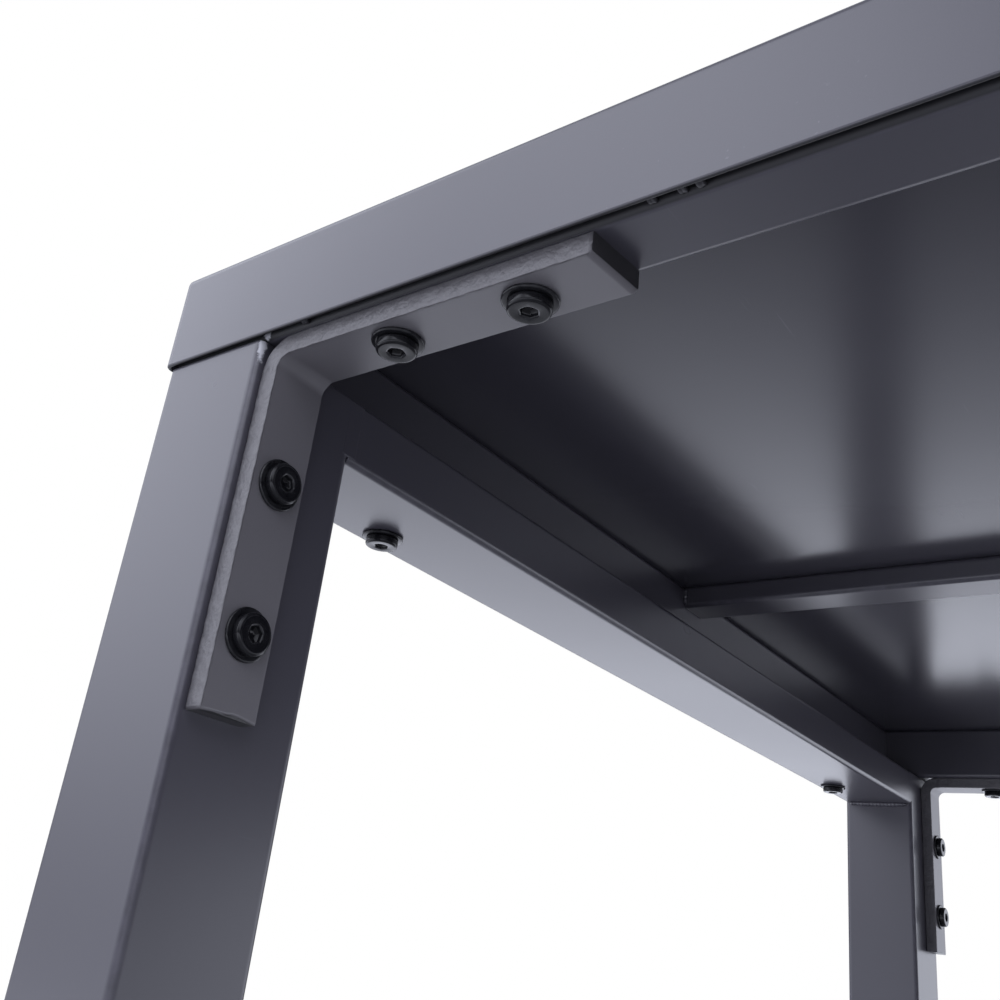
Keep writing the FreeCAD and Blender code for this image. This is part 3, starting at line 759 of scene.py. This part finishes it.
def tube_piece(node_name, axis, short=0.0, seam=None):
    """Tube for a CAD node; its lower corner by the folded edge may get painted seam shade."""
    low, high = box_of(node_name)
    high[axis] -= short
    shell = tube_shell(low, high, axis)
    if seam is not None:
        # painted shade: darkens the rail's lower outer corner where it lies down in the seam
        outer = max(abs(low[seam]), abs(high[seam]))
        depth = (np.abs(shell.points[:, seam]) - outer) / MM + 1.5
        below = shell.points[:, 2] < low[2] + 6 * MM
        shell.cut = np.clip(depth / 0.5, 0, 1) * below
    make_piece(node_name + "_tube", [shell], frame_coat(), "frame", [node_name])


class DESK_OT_top_frame(DeskOperator):
    """Rails, cross brace and tray carriers under the top"""
    bl_idname = "desk.top_frame"
    bl_label = "Top frame"

    def execute(self, context):
        tube_piece("top_brace", 0)
        for end, _ in ENDS:
            tube_piece("top_rail_" + end, 0, seam=1)
        for side, _ in SIDES:
            tube_piece("top_rail_" + side, 1, seam=0)
            tube_piece("tray_carrier_" + side, 1)
        return {"FINISHED"}


# Dark gap between the top of each leg and the rail above it
LEG_GAP = 0.5 * MM


class DESK_OT_side_frames(DeskOperator):
    """Legs and side rails"""
    bl_idname = "desk.side_frames"
    bl_label = "Side frames"

    def execute(self, context):
        for end, side, _, _ in CORNERS:
            tube_piece("leg_" + end + "_" + side, 2, LEG_GAP)
        for side, _ in SIDES:
            tube_piece("side_rail_" + side, 1)
        restyle("leg_end_plates", frame_coat())
        return {"FINISHED"}


def bead_shell(start, stop, across, height, ripples, seed):
    """Weld bead: an ellipse carried along a line, swollen by ripples and closed to a point.

    Half width times (1 + a tenth of a sawtooth of the ripples + a little noise) times the fourth
    root of one less the fourth power of the way along, so that both ends are round.
    """
    rng = np.random.default_rng(seed)
    start, stop = np.asarray(start, float), np.asarray(stop, float)
    along = (stop - start) / np.linalg.norm(stop - start)
    across = np.asarray(across, float)
    up = np.cross(along, across / np.linalg.norm(across)) * height
    t = np.linspace(0, 1, ripples * 6 + 1)
    saw = (t * ripples) % 1.0
    swell = 1 + 0.16 * saw + 0.08 * np.interp(t, np.linspace(0, 1, 9), rng.normal(size=9))
    round_end = np.maximum(1 - np.abs(2 * t - 1) ** 6, 0.0) ** 0.35
    reach = swell * np.maximum(round_end, 0.02)
    ring = circle(1.0, 14)
    centre = start + (stop - start) * t[:, None]
    section = ring[None, :, :1] * across + ring[None, :, 1:] * up
    grid = centre[:, None] + reach[:, None, None] * section
    return Shell(grid, wrap_rows=False, caps=("first", "last"))


# Distance of the tack welds from the middle of the desk along the folded edge
TACK_PLACES = (0.1425, 0.1495, 0.285, 0.2895, 0.4285, 0.4325, 0.4395, 0.5425)
# How much painted shade darkens the tack welds, which sit in the shaded seam
TACK_SHADE = 0.8


def rail_end_beads(first_seed):
    """Beads under the side rails where they meet the legs."""
    beads = []
    for k, (end, side, sy, sx) in enumerate(CORNERS):
        low, high = box_of("leg_" + end + "_" + side)
        z = box_of("side_rail_" + side)[0][2] - 0.3 * MM
        y = (high if sy < 0 else low)[1] - sy * 0.4 * MM
        beads.append(bead_shell((low[0] + 2.5 * MM, y, z), (high[0] - 2.5 * MM, y, z),
                                (0, 2.0 * MM, 1.0 * MM), 1.6 * MM, 16, first_seed + k))
    return beads


def flush_fills():
    """Ground-down welds that fill the round between a leg's corner and the rail's end."""
    fills = []
    for end, side, sy, sx in CORNERS:
        low, high = box_of("leg_" + end + "_" + side)
        rail_low, rail_high = box_of("side_rail_" + side)
        y = (high if sy < 0 else low)[1]
        for x, inward in ((low[0], 1), (high[0], -1)):
            loop, _ = rounded_loop(1.0 * MM, 2.9 * MM, 0.3 * MM, turns=4, support=0.2 * MM)
            loop = loop + [x + inward * 0.98 * MM, y]
            fills.append(prism_shell(loop, 2, rail_low[2] + 1.5 * MM, rail_high[2] - LEG_GAP))
    return fills


def brace_beads(first_seed):
    """Upright beads at both ends of the cross brace."""
    low, high = box_of("top_brace")
    beads = []
    for x in (low[0], high[0]):
        for face, out in ((low[1], -1), (high[1], 1)):
            y = face - out * 0.2 * MM
            beads.append(bead_shell((x, y, low[2] + 1.0 * MM), (x, y, high[2] - 1.5 * MM),
                                    (-np.sign(x) * 1.7 * MM, out * 1.0 * MM, 0), 1.3 * MM, 5,
                                    first_seed + len(beads)))
    return beads


def fold_tacks(first_seed):
    """Small tack welds between the front and back rails and the folded edge."""
    low, high = box_of("top_rail_front")
    z = box_of("top_pan")[0][2] + 1.0 * MM
    tacks = []
    for place in TACK_PLACES:
        for sx in (-1, 1):
            for sy in (-1, 1):
                y = sy * (abs(low[1]) + 0.8 * MM)
                tacks.append(bead_shell((sx * place - 1.0 * MM, y, z),
                                        (sx * place + 1.0 * MM, y, z),
                                        (0, 1.1 * MM, 0), 0.7 * MM, 2, first_seed + len(tacks)))
                # painted shade: the tack welds are darkened through the cut mask
                tacks[-1].cut = np.full(len(tacks[-1].points), TACK_SHADE)
    return tacks


class DESK_OT_welds(DeskOperator):
    """Weld beads of the side frames and tack welds along the folded edge"""
    bl_idname = "desk.welds"
    bl_label = "Welds"

    def execute(self, context):
        make_piece("corner_weld_beads", rail_end_beads(11), frame_coat(), "frame",
                   ["corner_welds"])
        make_piece("flush_weld_fills", flush_fills(), frame_coat(), "frame")
        make_piece("brace_weld_beads", brace_beads(15), frame_coat(), "frame")
        make_piece("fold_tack_welds", fold_tacks(19), frame_coat(), "frame")
        return {"FINISHED"}


# How far the arms' ends stand past the CAD's, lower and upper, and the upper end out of square
STRETCH = (0.8 * MM, 1.8 * MM)
SKEW = 1.6 * MM
BEVEL = 0.8 * MM
HOLLOW = 0.9 * MM


def bracket_line(arm_x, arm_z, t, bend):
    """Middle line of the bent bar in X and Z, in steps of under a millimetre."""
    line = fillet_path([(t / 2, -arm_z), (t / 2, -t / 2), (arm_x, -t / 2)], [bend - t / 2], 21)
    lower = np.linspace(line[0], line[1], 110)[:-1]
    upper = np.linspace(line[-2], line[-1], 110)[1:]
    return np.concatenate([lower, line[1:-1], upper])


def shear_marks(way, across, seed):
    """Height of the torn part of a sheared edge, within about one up and one down.

    The sum of 40 sines, each of a random length along the bar and slanted across it, over the
    square root of their number.
    """
    rng = np.random.default_rng(seed)
    rate = 2 * np.pi / rng.uniform(2.2 * MM, 14.0 * MM, 40)
    slant = rate * rng.uniform(-0.8, 0.8, 40)
    phase = rng.uniform(0, 2 * np.pi, 40)
    waves = np.sin(way[:, None, None] * rate + across[None, :, None] * slant + phase)
    return waves.sum(-1) / np.sqrt(40)


def bracket_shell(name, sy, sx):
    """Flat bar bent to an L, with rough sheared edges.

    The middle line runs up the leg, round the bend and out along the rail; at each station the
    bar's section, a rectangle with small rounded corners, is set square to it. The cut edges are
    drawn in by the shear marks, the far end of the upper arm is bevelled and cut a little off
    square, and the lower end of the other is cut a little hollow.
    """
    low, high = box_of(name)
    width, t = high[1] - low[1], sizes().bar
    path = bracket_line(high[0] - low[0], high[2] - low[2], t, sizes().bend)
    ahead = np.gradient(path, axis=0)
    ahead /= np.linalg.norm(ahead, axis=1)[:, None]
    normal = np.stack([-ahead[:, 1], ahead[:, 0]], 1)
    loop, _ = rounded_loop(t / 2, width / 2, 0.45 * MM, turns=4, support=0.25 * MM, fill=(10, 7))
    cut = np.clip((np.abs(loop[:, 1]) - (width / 2 - 0.4 * MM)) / (0.3 * MM), 0, 1)
    way = np.concatenate([[0], np.cumsum(np.linalg.norm(np.diff(path, axis=0), axis=1))])
    seed = int(31 + 7 * sy + 3 * sx)
    inner = -1.0
    marks = shear_marks(way, loop[:, 0] + np.sign(loop[:, 1]) * width, seed)
    near = np.minimum(way, way[-1] - way)
    corner = 0.4 * np.clip(0.5 * MM - near, 0, None)
    half = width / 2 - corner[:, None] - sizes().shear * cut * (1 + np.clip(marks, -1, 1)) / 2
    cut = cut * np.clip(near / (0.8 * MM), 0, 1)[:, None]
    b = loop[:, 1] * half / (width / 2)
    bevel = np.where(way > way[-1] / 2, np.clip(BEVEL - near, 0, None), 0)[:, None]
    a = loop[:, 0] - np.where(loop[:, 0] * inner > 0, bevel * inner, 0)
    xz = path[:, None] + normal[:, None] * a[..., None]
    tip = np.clip(1 - way / (4 * MM), 0, 1)[:, None]
    lower = np.clip(1 - way / (30 * MM), 0, 1)[:, None]
    upper = np.clip(1 - (way[-1] - way) / (30 * MM), 0, 1)[:, None]
    hollow = HOLLOW * np.cos(loop[:, 1] / width * np.pi) * (1 + 0.25 * marks[0])
    xz[..., 1] += tip * np.clip(hollow, 0, None) - lower * STRETCH[0]
    xz[..., 0] += upper * (STRETCH[1] + SKEW * (0.5 - sy * loop[:, 1] / width))
    grid = np.stack([-sx * xz[..., 0], b, xz[..., 1]], -1)
    grid += [low[0] if sx < 0 else high[0], (low[1] + high[1]) / 2, high[2]]
    return Shell(grid, wrap_rows=False, caps=("first", "last"),
                 edge=np.where(cut > 0, 0.25, 0.0), cut=cut)


class DESK_OT_brackets(DeskOperator):
    """Corner brackets of bent flat bar"""
    bl_idname = "desk.brackets"
    bl_label = "Corner brackets"

    def execute(self, context):
        for end, side, sy, sx in CORNERS:
            name = "bracket_" + end + "_" + side
            shell = bracket_shell(name, sy, sx)
            make_piece(name + "_bar", [shell], bracket_coat(), "frame", [name])
        return {"FINISHED"}


def socket_screw_shell(head_radius, head_height, shoulder, shank, length, flats, depth, count=72):
    """Low socket head screw standing on Z = 0, its shank below.

    Rows run from the shank's tip out under the head, up its side, over a round shoulder, in
    across the flat face, over a small lip whose plan turns from a circle into a hexagon, down the
    socket's wall and in to its floor. The hexagon's radius is its half width over the cosine of
    the angle from the middle of the nearest flat.
    """
    turn = np.linspace(0, 2 * np.pi, count, endpoint=False)
    rows = [(0.05 * MM, -length, 0), (shank - 0.4 * MM, -length, 0), (shank, -length + 0.4 * MM, 0),
            (shank, -0.1 * MM, 0), (shank, 0, 0), (head_radius - 0.25 * MM, 0, 0),
            (head_radius, 0.25 * MM, 0), (head_radius, 0.45 * MM, 0)]
    worn = [0.0] * len(rows)
    quarter = np.linspace(0, np.pi / 2, 8)
    rows += [(head_radius - shoulder + shoulder * np.cos(a),
              head_height - shoulder + shoulder * np.sin(a), 0) for a in quarter]
    worn += [0.2] * (len(quarter) - 1) + [0.8]
    lip = flats / 2 * 1.26
    rows += [(head_radius - shoulder - 0.12 * MM, head_height, 0),
             (lip + 0.15 * MM, head_height, 0), (lip, head_height - 0.02 * MM, 0.2),
             (flats / 2 + 0.05 * MM, head_height - 0.22 * MM, 0.9),
             (flats / 2, head_height - 0.35 * MM, 1), (flats / 2, head_height - depth, 1),
             (0.05 * MM, head_height - depth - 0.25 * MM, 0)]
    worn += [0.0, 0.2, 1.0, 0.9, 0.3, 0.0, 0.0]
    radius, height, six = np.array(rows).T[..., None]
    nearest = (turn + np.pi / 6) % (np.pi / 3) - np.pi / 6
    r = radius * (1 + (1 / np.cos(nearest) - 1) * six)
    grid = np.stack([r * np.cos(turn), r * np.sin(turn), height + 0 * r], -1)
    return Shell(grid, wrap_rows=False, caps=("first", "last"),
                 edge=np.array(worn)[:, None])


def washer_shell(inner, outer, thickness):
    """Plain washer standing on Z = 0: a rectangle with rounded outer corners, turned about Z."""
    e = thickness * 0.35
    profile = np.array([(inner, e), (inner + e, 0), (outer - e, 0), (outer - 0.3 * e, 0.3 * e),
                        (outer, e), (outer, thickness - e), (outer - 0.3 * e, thickness - 0.3 * e),
                        (outer - e, thickness), (inner + e, thickness), (inner, thickness - e)])
    return lathe_shell(profile, 64, edge=np.array([0, 0, 0, .5, .8, .8, .8, .3, 0, 0.0]))


WASHER = 1.0 * MM
WASHER_HOLE = 3.3 * MM
WASHER_RADIUS = 7.0 * MM
HEAD_RADIUS = 5.5 * MM
HEAD_HEIGHT = 2.7 * MM
HEAD_SHOULDER = 0.9 * MM
SHANK = 2.95 * MM
HEX_FLATS = 4.0 * MM
HEX_DEPTH = 1.6 * MM
BRACKET_SCREW = 15.5 * MM
SIDE_SCREW = 29.5 * MM
HOLE_PITCH = 41.0 * MM
SIDE_SCREW_INSET = 10.0 * MM


def bracket_seats():
    """Places on the brackets where washers sit, with the way each screw points out."""
    seats = []
    for end, side, sy, sx in CORNERS:
        low, high = box_of("bracket_" + end + "_" + side)
        mid_y = (low[1] + high[1]) / 2
        corner_x = low[0] if sx < 0 else high[0]
        bar = sizes().bar
        for k in (1, 2):
            far = k * HOLE_PITCH
            seats.append(((corner_x - sx * far, mid_y, high[2] - bar), (0, 0, -1)))
            seats.append(((corner_x - sx * bar, mid_y, high[2] - far), (-sx, 0, 0)))
    return seats


def side_seats():
    """Places under the side rails where washers sit."""
    seats = []
    for side, sx in SIDES:
        low, high = box_of("side_rail_" + side)
        screws_low, screws_high = box_of("side_screws")
        for y in (screws_low[1] + HEAD_RADIUS, screws_high[1] - HEAD_RADIUS):
            x = sx * (max(abs(low[0]), abs(high[0])) - SIDE_SCREW_INSET)
            seats.append(((x, y, low[2]), (0, 0, -1)))
    return seats


def screw_set(seats, length, seed):
    """One screw and one washer for each seat, each screw turned by its own angle."""
    rng = np.random.default_rng(seed)
    screws, washers = [], []
    for seat, out in seats:
        angle = rng.uniform(0, np.pi / 3)
        spin = np.array(Matrix.Rotation(angle, 3, "Z"))
        turn = onto(out)
        screw = socket_screw_shell(HEAD_RADIUS, HEAD_HEIGHT, HEAD_SHOULDER, SHANK, length,
                                   HEX_FLATS, HEX_DEPTH)
        screw.turned(spin).turned(turn)
        screws.append(screw.moved(np.array(seat) + np.array(out) * WASHER))
        washer = washer_shell(WASHER_HOLE, WASHER_RADIUS, WASHER).turned(turn)
        washers.append(washer.moved(seat))
    return screws, washers


class DESK_OT_fasteners(DeskOperator):
    """Screws, washers and nuts of the frame"""
    bl_idname = "desk.fasteners"
    bl_label = "Fasteners"

    def execute(self, context):
        for prefix, seats, length, seed in (("bracket", bracket_seats(), BRACKET_SCREW, 5),
                                            ("side", side_seats(), SIDE_SCREW, 8)):
            screws, washers = screw_set(seats, length, seed)
            make_piece(prefix + "_screw_set", screws, black_screw(), "frame",
                       [prefix + "_screws"])
            make_piece(prefix + "_washer_set", washers, black_screw(), "frame",
                       [prefix + "_washers"])
        for name in ("bracket_nuts", "side_nuts", "hanger_nuts"):
            restyle(name, zinc_steel())
        return {"FINISHED"}


def glide_shell(low, high):
    """Plug-in glide: rounded squares stacked up from a domed foot to the top of its plug."""
    mid = (low + high) / 2
    half = (high - low)[0] / 2
    z = low[2]
    plug = half - 1.65 * MM
    rows = [(half - 3 * MM, 0.0, 2.4), (half - 1.5 * MM, 0.05, 2.4), (half - 0.7 * MM, 0.4, 2.4),
            (half - 0.15 * MM, 1.1, 2.4), (half, 1.9, 2.5), (half, 4.4, 2.5),
            (half - 0.15 * MM, 4.85, 2.4), (half - 0.5 * MM, 5.0, 2.2), (plug, 5.0, 1.0),
            (plug, 26.0, 1.0), (plug - 1.0 * MM, 27.0, 1.0)]
    grid = []
    for reach, height, corner in rows:
        loop, _ = rounded_loop(reach, reach, corner * MM, support=0.5 * MM)
        grid.append(np.column_stack([loop + mid[:2], np.full(len(loop), z + height * MM)]))
    return Shell(np.stack(grid), wrap_rows=False, caps=("first", "last"))


class DESK_OT_glides(DeskOperator):
    """Plastic glides under the legs"""
    bl_idname = "desk.glides"
    bl_label = "Glides"

    def execute(self, context):
        for end, side, _, _ in CORNERS:
            name = "glide_" + end + "_" + side
            make_piece(name + "_foot", [glide_shell(*box_of(name))], black_plastic(), "frame",
                       [name])
        return {"FINISHED"}


HANGER_SHEET = 2.0 * MM
HANGER_BEND = 1.6 * MM
SLIDE_SHEET = 1.2 * MM
SLIDE_LIP = 1.6 * MM
SLIDE_EASE = 0.12 * MM
STOP_SHEET = 1.5 * MM
STOP_BEND = 1.6 * MM


class DESK_OT_hangers(DeskOperator):
    """Folded hangers of the tray and their screws"""
    bl_idname = "desk.hangers"
    bl_label = "Tray hangers"

    def execute(self, context):
        t = HANGER_SHEET
        for side, sx in SIDES:
            name = "tray_hanger_" + side
            low, high = box_of(name)
            face = high[0] if sx < 0 else low[0]
            far = low[0] if sx < 0 else high[0]
            line = [(high[2] - t / 2, far), (high[2] - t / 2, face + sx * t / 2),
                    (low[2], face + sx * t / 2)]
            loop = sheet_loop(line, [HANGER_BEND], t)
            make_piece(name + "_plate", [prism_shell(loop, 1, low[1], high[1])], frame_coat(),
                       "frame", [name])
        restyle("hanger_screws", black_screw())
        restyle("slide_screws_outer", black_screw())
        return {"FINISHED"}


class DESK_OT_slides(DeskOperator):
    """Ball slides: outer and inner members, cages, balls and bumpers"""
    bl_idname = "desk.slides"
    bl_label = "Tray slides"

    def execute(self, context):
        t = SLIDE_SHEET
        for side, sx in SIDES:
            low, high = box_of("slide_outer_" + side)
            back, mouth = (low[0], high[0]) if sx < 0 else (high[0], low[0])
            top, bottom = high[2] - t / 2, low[2] + t / 2
            rim = mouth + sx * t / 2
            line = [(top - SLIDE_LIP, rim), (top, rim), (top, back - sx * t / 2),
                    (bottom, back - sx * t / 2), (bottom, rim), (bottom + SLIDE_LIP, rim)]
            loop = sheet_loop(line, [0.9 * MM, 1.0 * MM, 1.0 * MM, 0.9 * MM], t)
            shell = prism_shell(loop, 1, low[1], high[1], ease=SLIDE_EASE)
            make_piece("slide_outer_channel_" + side, [shell],
                       zinc_steel(), "frame", ["slide_outer_" + side])
            low, high = box_of("slide_inner_" + side)
            web, mouth = (high[0], low[0]) if sx < 0 else (low[0], high[0])
            top, bottom = high[2] - t / 2, low[2] + t / 2
            line = [(top, mouth), (top, web + sx * t / 2), (bottom, web + sx * t / 2),
                    (bottom, mouth)]
            loop = sheet_loop(line, [1.2 * MM, 1.2 * MM], t)
            shell = prism_shell(loop, 1, low[1], high[1], ease=SLIDE_EASE)
            make_piece("slide_inner_channel_" + side, [shell],
                       zinc_steel(), "tray", ["slide_inner_" + side])
            restyle("slide_cage_" + side, zinc_steel())
            restyle("slide_balls_" + side, ball_steel())
            restyle("slide_bumper_" + side, bumper_rubber())
        return {"FINISHED"}


class DESK_OT_tray(DeskOperator):
    """Keyboard tray and its rear stop"""
    bl_idname = "desk.tray"
    bl_label = "Keyboard tray"

    def execute(self, context):
        low, high = box_of("keyboard_tray")
        shell = pan_shell(low, high, sizes().fold, sizes().sheet)
        make_piece("keyboard_tray_skin", [shell], panel_coat(), "tray",
                   ["keyboard_tray"])
        low, high = box_of("keyboard_stop")
        t = STOP_SHEET
        line = [(low[1], low[2] + t / 2), (high[1] - t / 2, low[2] + t / 2),
                (high[1] - t / 2, high[2])]
        loop = sheet_loop(line, [STOP_BEND], t)
        make_piece("keyboard_stop_angle", [prism_shell(loop, 0, low[0], high[0])], panel_coat(),
                   "tray", ["keyboard_stop"])
        restyle("slide_screws_inner", black_screw())
        return {"FINISHED"}


# ---- operators: the stage ----------------------------------------------------------------------
# Where the camera stands, its turn about X, Y and Z in degrees, and its lens in millimetres
EYE = (-344.1 * MM, -457.1 * MM, 568.7 * MM)
LOOK = (113.58, -7.76, 38.35)
LENS = 39.24
SHIFT = (0.06, -0.01)


def make_camera():
    """Camera low in front of the desk, looking up and to the left at its corner."""
    data = bpy.data.cameras.new("Camera")
    data.sensor_width = 36.0
    data.lens = LENS
    data.shift_x, data.shift_y = SHIFT
    data.clip_start = 0.01
    camera = bpy.data.objects.new("Camera", data)
    camera.location = EYE
    camera.rotation_euler = np.radians(LOOK)
    bpy.context.collection.objects.link(camera)
    bpy.context.scene.camera = camera


# Glow of the far floor, and the paler glow that the eye sees near by and far off
FAR_GLOW = 1.75
PALE_NEAR = (0.26, 0.26, 0.265, 1.0)
PALE_FAR = (0.4, 0.4, 0.4, 1.0)
# Slightly cool tint of all the light
STUDIO_TINT = (0.965, 1.0, 1.13, 1.0)


def make_floor():
    """Wide pale floor as a disc of rings, matt, that glows far off like a lit studio sweep.

    Each point lies at one of the radii times the cosine and sine of one of 64 even turns.
    """
    radii = np.array([0.0005, 0.4, 0.8, 1.6, 3.2, 6.0])
    turn = np.linspace(0, 2 * np.pi, 64, endpoint=False)
    grid = np.stack([radii[:, None] * np.cos(turn), radii[:, None] * np.sin(turn),
                     np.zeros((len(radii), 64))], -1)
    mesh = bpy.data.meshes.new("floor")
    faces = grid_faces(len(radii), 64, False, True).tolist() + [list(range(63, -1, -1))]
    mesh.from_pydata(grid.reshape(-1, 3).tolist(), [], faces)
    floor = bpy.data.objects.new("floor", mesh)
    bpy.context.collection.objects.link(floor)
    material, tree, shader, place = new_material("Studio floor")
    grain = node(tree, "ShaderNodeTexNoise", {"Scale": 3.0, "Detail": 5.0})
    tree.links.new(place, grain.inputs["Vector"])
    tree.links.new(tinted(tree, rgba(colours().floor), grain.outputs[0],
                          rgba(colours().floor, 0.97)), shader.inputs["Base Color"])
    flat = node(tree, "ShaderNodeMapping", {"Scale": (1.0, 1.0, 0.0)})
    far = node(tree, "ShaderNodeVectorMath", operation="LENGTH")
    tree.links.new(place, flat.inputs["Vector"])
    tree.links.new(flat.outputs[0], far.inputs[0])
    glow = mapped(tree, far.outputs["Value"], 0.9, 2.4)
    thrown = tinted(tree, (0, 0, 0, 1), glow, STUDIO_TINT)
    seen = tinted(tree, PALE_NEAR, glow, PALE_FAR)
    path = tree.nodes.new("ShaderNodeLightPath")
    tree.links.new(tinted(tree, thrown, path.outputs["Is Camera Ray"], seen),
                   shader.inputs["Emission Color"])
    shader.inputs["Emission Strength"].default_value = FAR_GLOW
    shader.inputs["Roughness"].default_value = 0.7
    mesh.materials.append(material)


# Soft boxes of the studio: azimuth from +X and height in degrees, half width, strength
SOFT_BOXES = (
    ("Rear strip", 60, 1, 30, 2.2),
    ("Right strip", 30, 1, 30, 0.4),
    ("Left fill", 210, 1, 30, 0.7),
    ("Front fill", 240, 1, 30, 0.9),
    ("Left", 180, 33, 38, 0.9),
    ("Key, left front", 225, 33, 38, 2.4),
    ("Front", 270, 33, 38, 1.3),
    ("Right front", 315, 33, 38, 2.1),
    ("Overhead", 90, 80, 45, 0.5),
)
# Angle in degrees within which each box has its full strength
SOFT_CORE = 6


def make_world():
    """White studio: plain white to the eye, and lit by a ring of soft boxes.

    Each soft box is a smooth step of the dot product of the direction with the box's own, from 0
    at its edge to its full strength in its middle.
    """
    world = bpy.data.worlds.new("Studio")
    bpy.context.scene.world = world
    world.use_nodes = True
    tree = world.node_tree
    lit = tree.nodes["Background"]
    lit.inputs["Color"].default_value = STUDIO_TINT
    seen = node(tree, "ShaderNodeBackground", {"Color": (1, 1, 1, 1), "Strength": 1.0})
    way = tree.nodes.new("ShaderNodeTexCoord").outputs["Generated"]
    total = None
    for label, azimuth, height, half_width, strength in SOFT_BOXES:
        turn, lift = np.radians(azimuth), np.radians(height)
        middle = (np.cos(lift) * np.cos(turn), np.cos(lift) * np.sin(turn), np.sin(lift))
        dot = node(tree, "ShaderNodeVectorMath", {1: middle}, operation="DOT_PRODUCT", label=label)
        tree.links.new(way, dot.inputs[0])
        glow = node(tree, "ShaderNodeMapRange", {
            "From Min": float(np.cos(np.radians(half_width))),
            "From Max": float(np.cos(np.radians(SOFT_CORE))), "To Max": strength},
            interpolation_type="SMOOTHSTEP")
        tree.links.new(dot.outputs["Value"], glow.inputs["Value"])
        total = glow.outputs[0] if total is None else math_node(tree, "ADD", total,
                                                                glow.outputs[0])
    tree.links.new(total, lit.inputs["Strength"])
    mix = tree.nodes.new("ShaderNodeMixShader")
    path = tree.nodes.new("ShaderNodeLightPath")
    tree.links.new(path.outputs["Is Camera Ray"], mix.inputs[0])
    tree.links.new(lit.outputs[0], mix.inputs[1])
    tree.links.new(seen.outputs[0], mix.inputs[2])
    tree.links.new(mix.outputs[0], tree.nodes["World Output"].inputs["Surface"])


class DESK_OT_stage(DeskOperator):
    """Camera, floor, lights and background"""
    bl_idname = "desk.stage"
    bl_label = "Stage"

    def execute(self, context):
        make_camera()
        make_floor()
        make_world()
        scene = context.scene
        scene.view_settings.view_transform = "Standard"
        scene.view_settings.look = "None"
        return {"FINISHED"}


class DESK_PT_panel(bpy.types.Panel):
    """Desk pieces and their settings"""
    bl_idname = "DESK_PT_panel"
    bl_label = "Steel desk"
    bl_space_type = "VIEW_3D"
    bl_region_type = "UI"
    bl_category = "Desk"

    def draw(self, context):
        for label, group in (("Sizes", context.scene.desk_sizes),
                             ("Colours", context.scene.desk_colours)):
            box = self.layout.box()
            box.label(text=label)
            for key in group.__annotations__:
                box.prop(group, key)
        column = self.layout.column(align=True)
        for operator in STEPS:
            column.operator(operator.bl_idname)


STEPS = (DESK_OT_stage, DESK_OT_top, DESK_OT_top_frame, DESK_OT_side_frames, DESK_OT_welds,
         DESK_OT_glides, DESK_OT_brackets, DESK_OT_fasteners, DESK_OT_hangers, DESK_OT_slides,
         DESK_OT_tray)
CLASSES = (DeskSizes, DeskColours) + STEPS + (DESK_PT_panel,)


def register():
    for cls in CLASSES:
        bpy.utils.register_class(cls)
    bpy.types.Scene.desk_sizes = bpy.props.PointerProperty(type=DeskSizes)
    bpy.types.Scene.desk_colours = bpy.props.PointerProperty(type=DeskColours)


def unregister():
    del bpy.types.Scene.desk_colours
    del bpy.types.Scene.desk_sizes
    for cls in reversed(CLASSES):
        bpy.utils.unregister_class(cls)


def main():
    """Registers the add-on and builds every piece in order."""
    register()
    bpy.ops.desk.stage()
    bpy.ops.desk.top()
    bpy.ops.desk.top_frame()
    bpy.ops.desk.side_frames()
    bpy.ops.desk.welds()
    bpy.ops.desk.glides()
    bpy.ops.desk.brackets()
    bpy.ops.desk.fasteners()
    bpy.ops.desk.hangers()
    bpy.ops.desk.slides()
    bpy.ops.desk.tray()


if __name__ == "__main__":
    main()
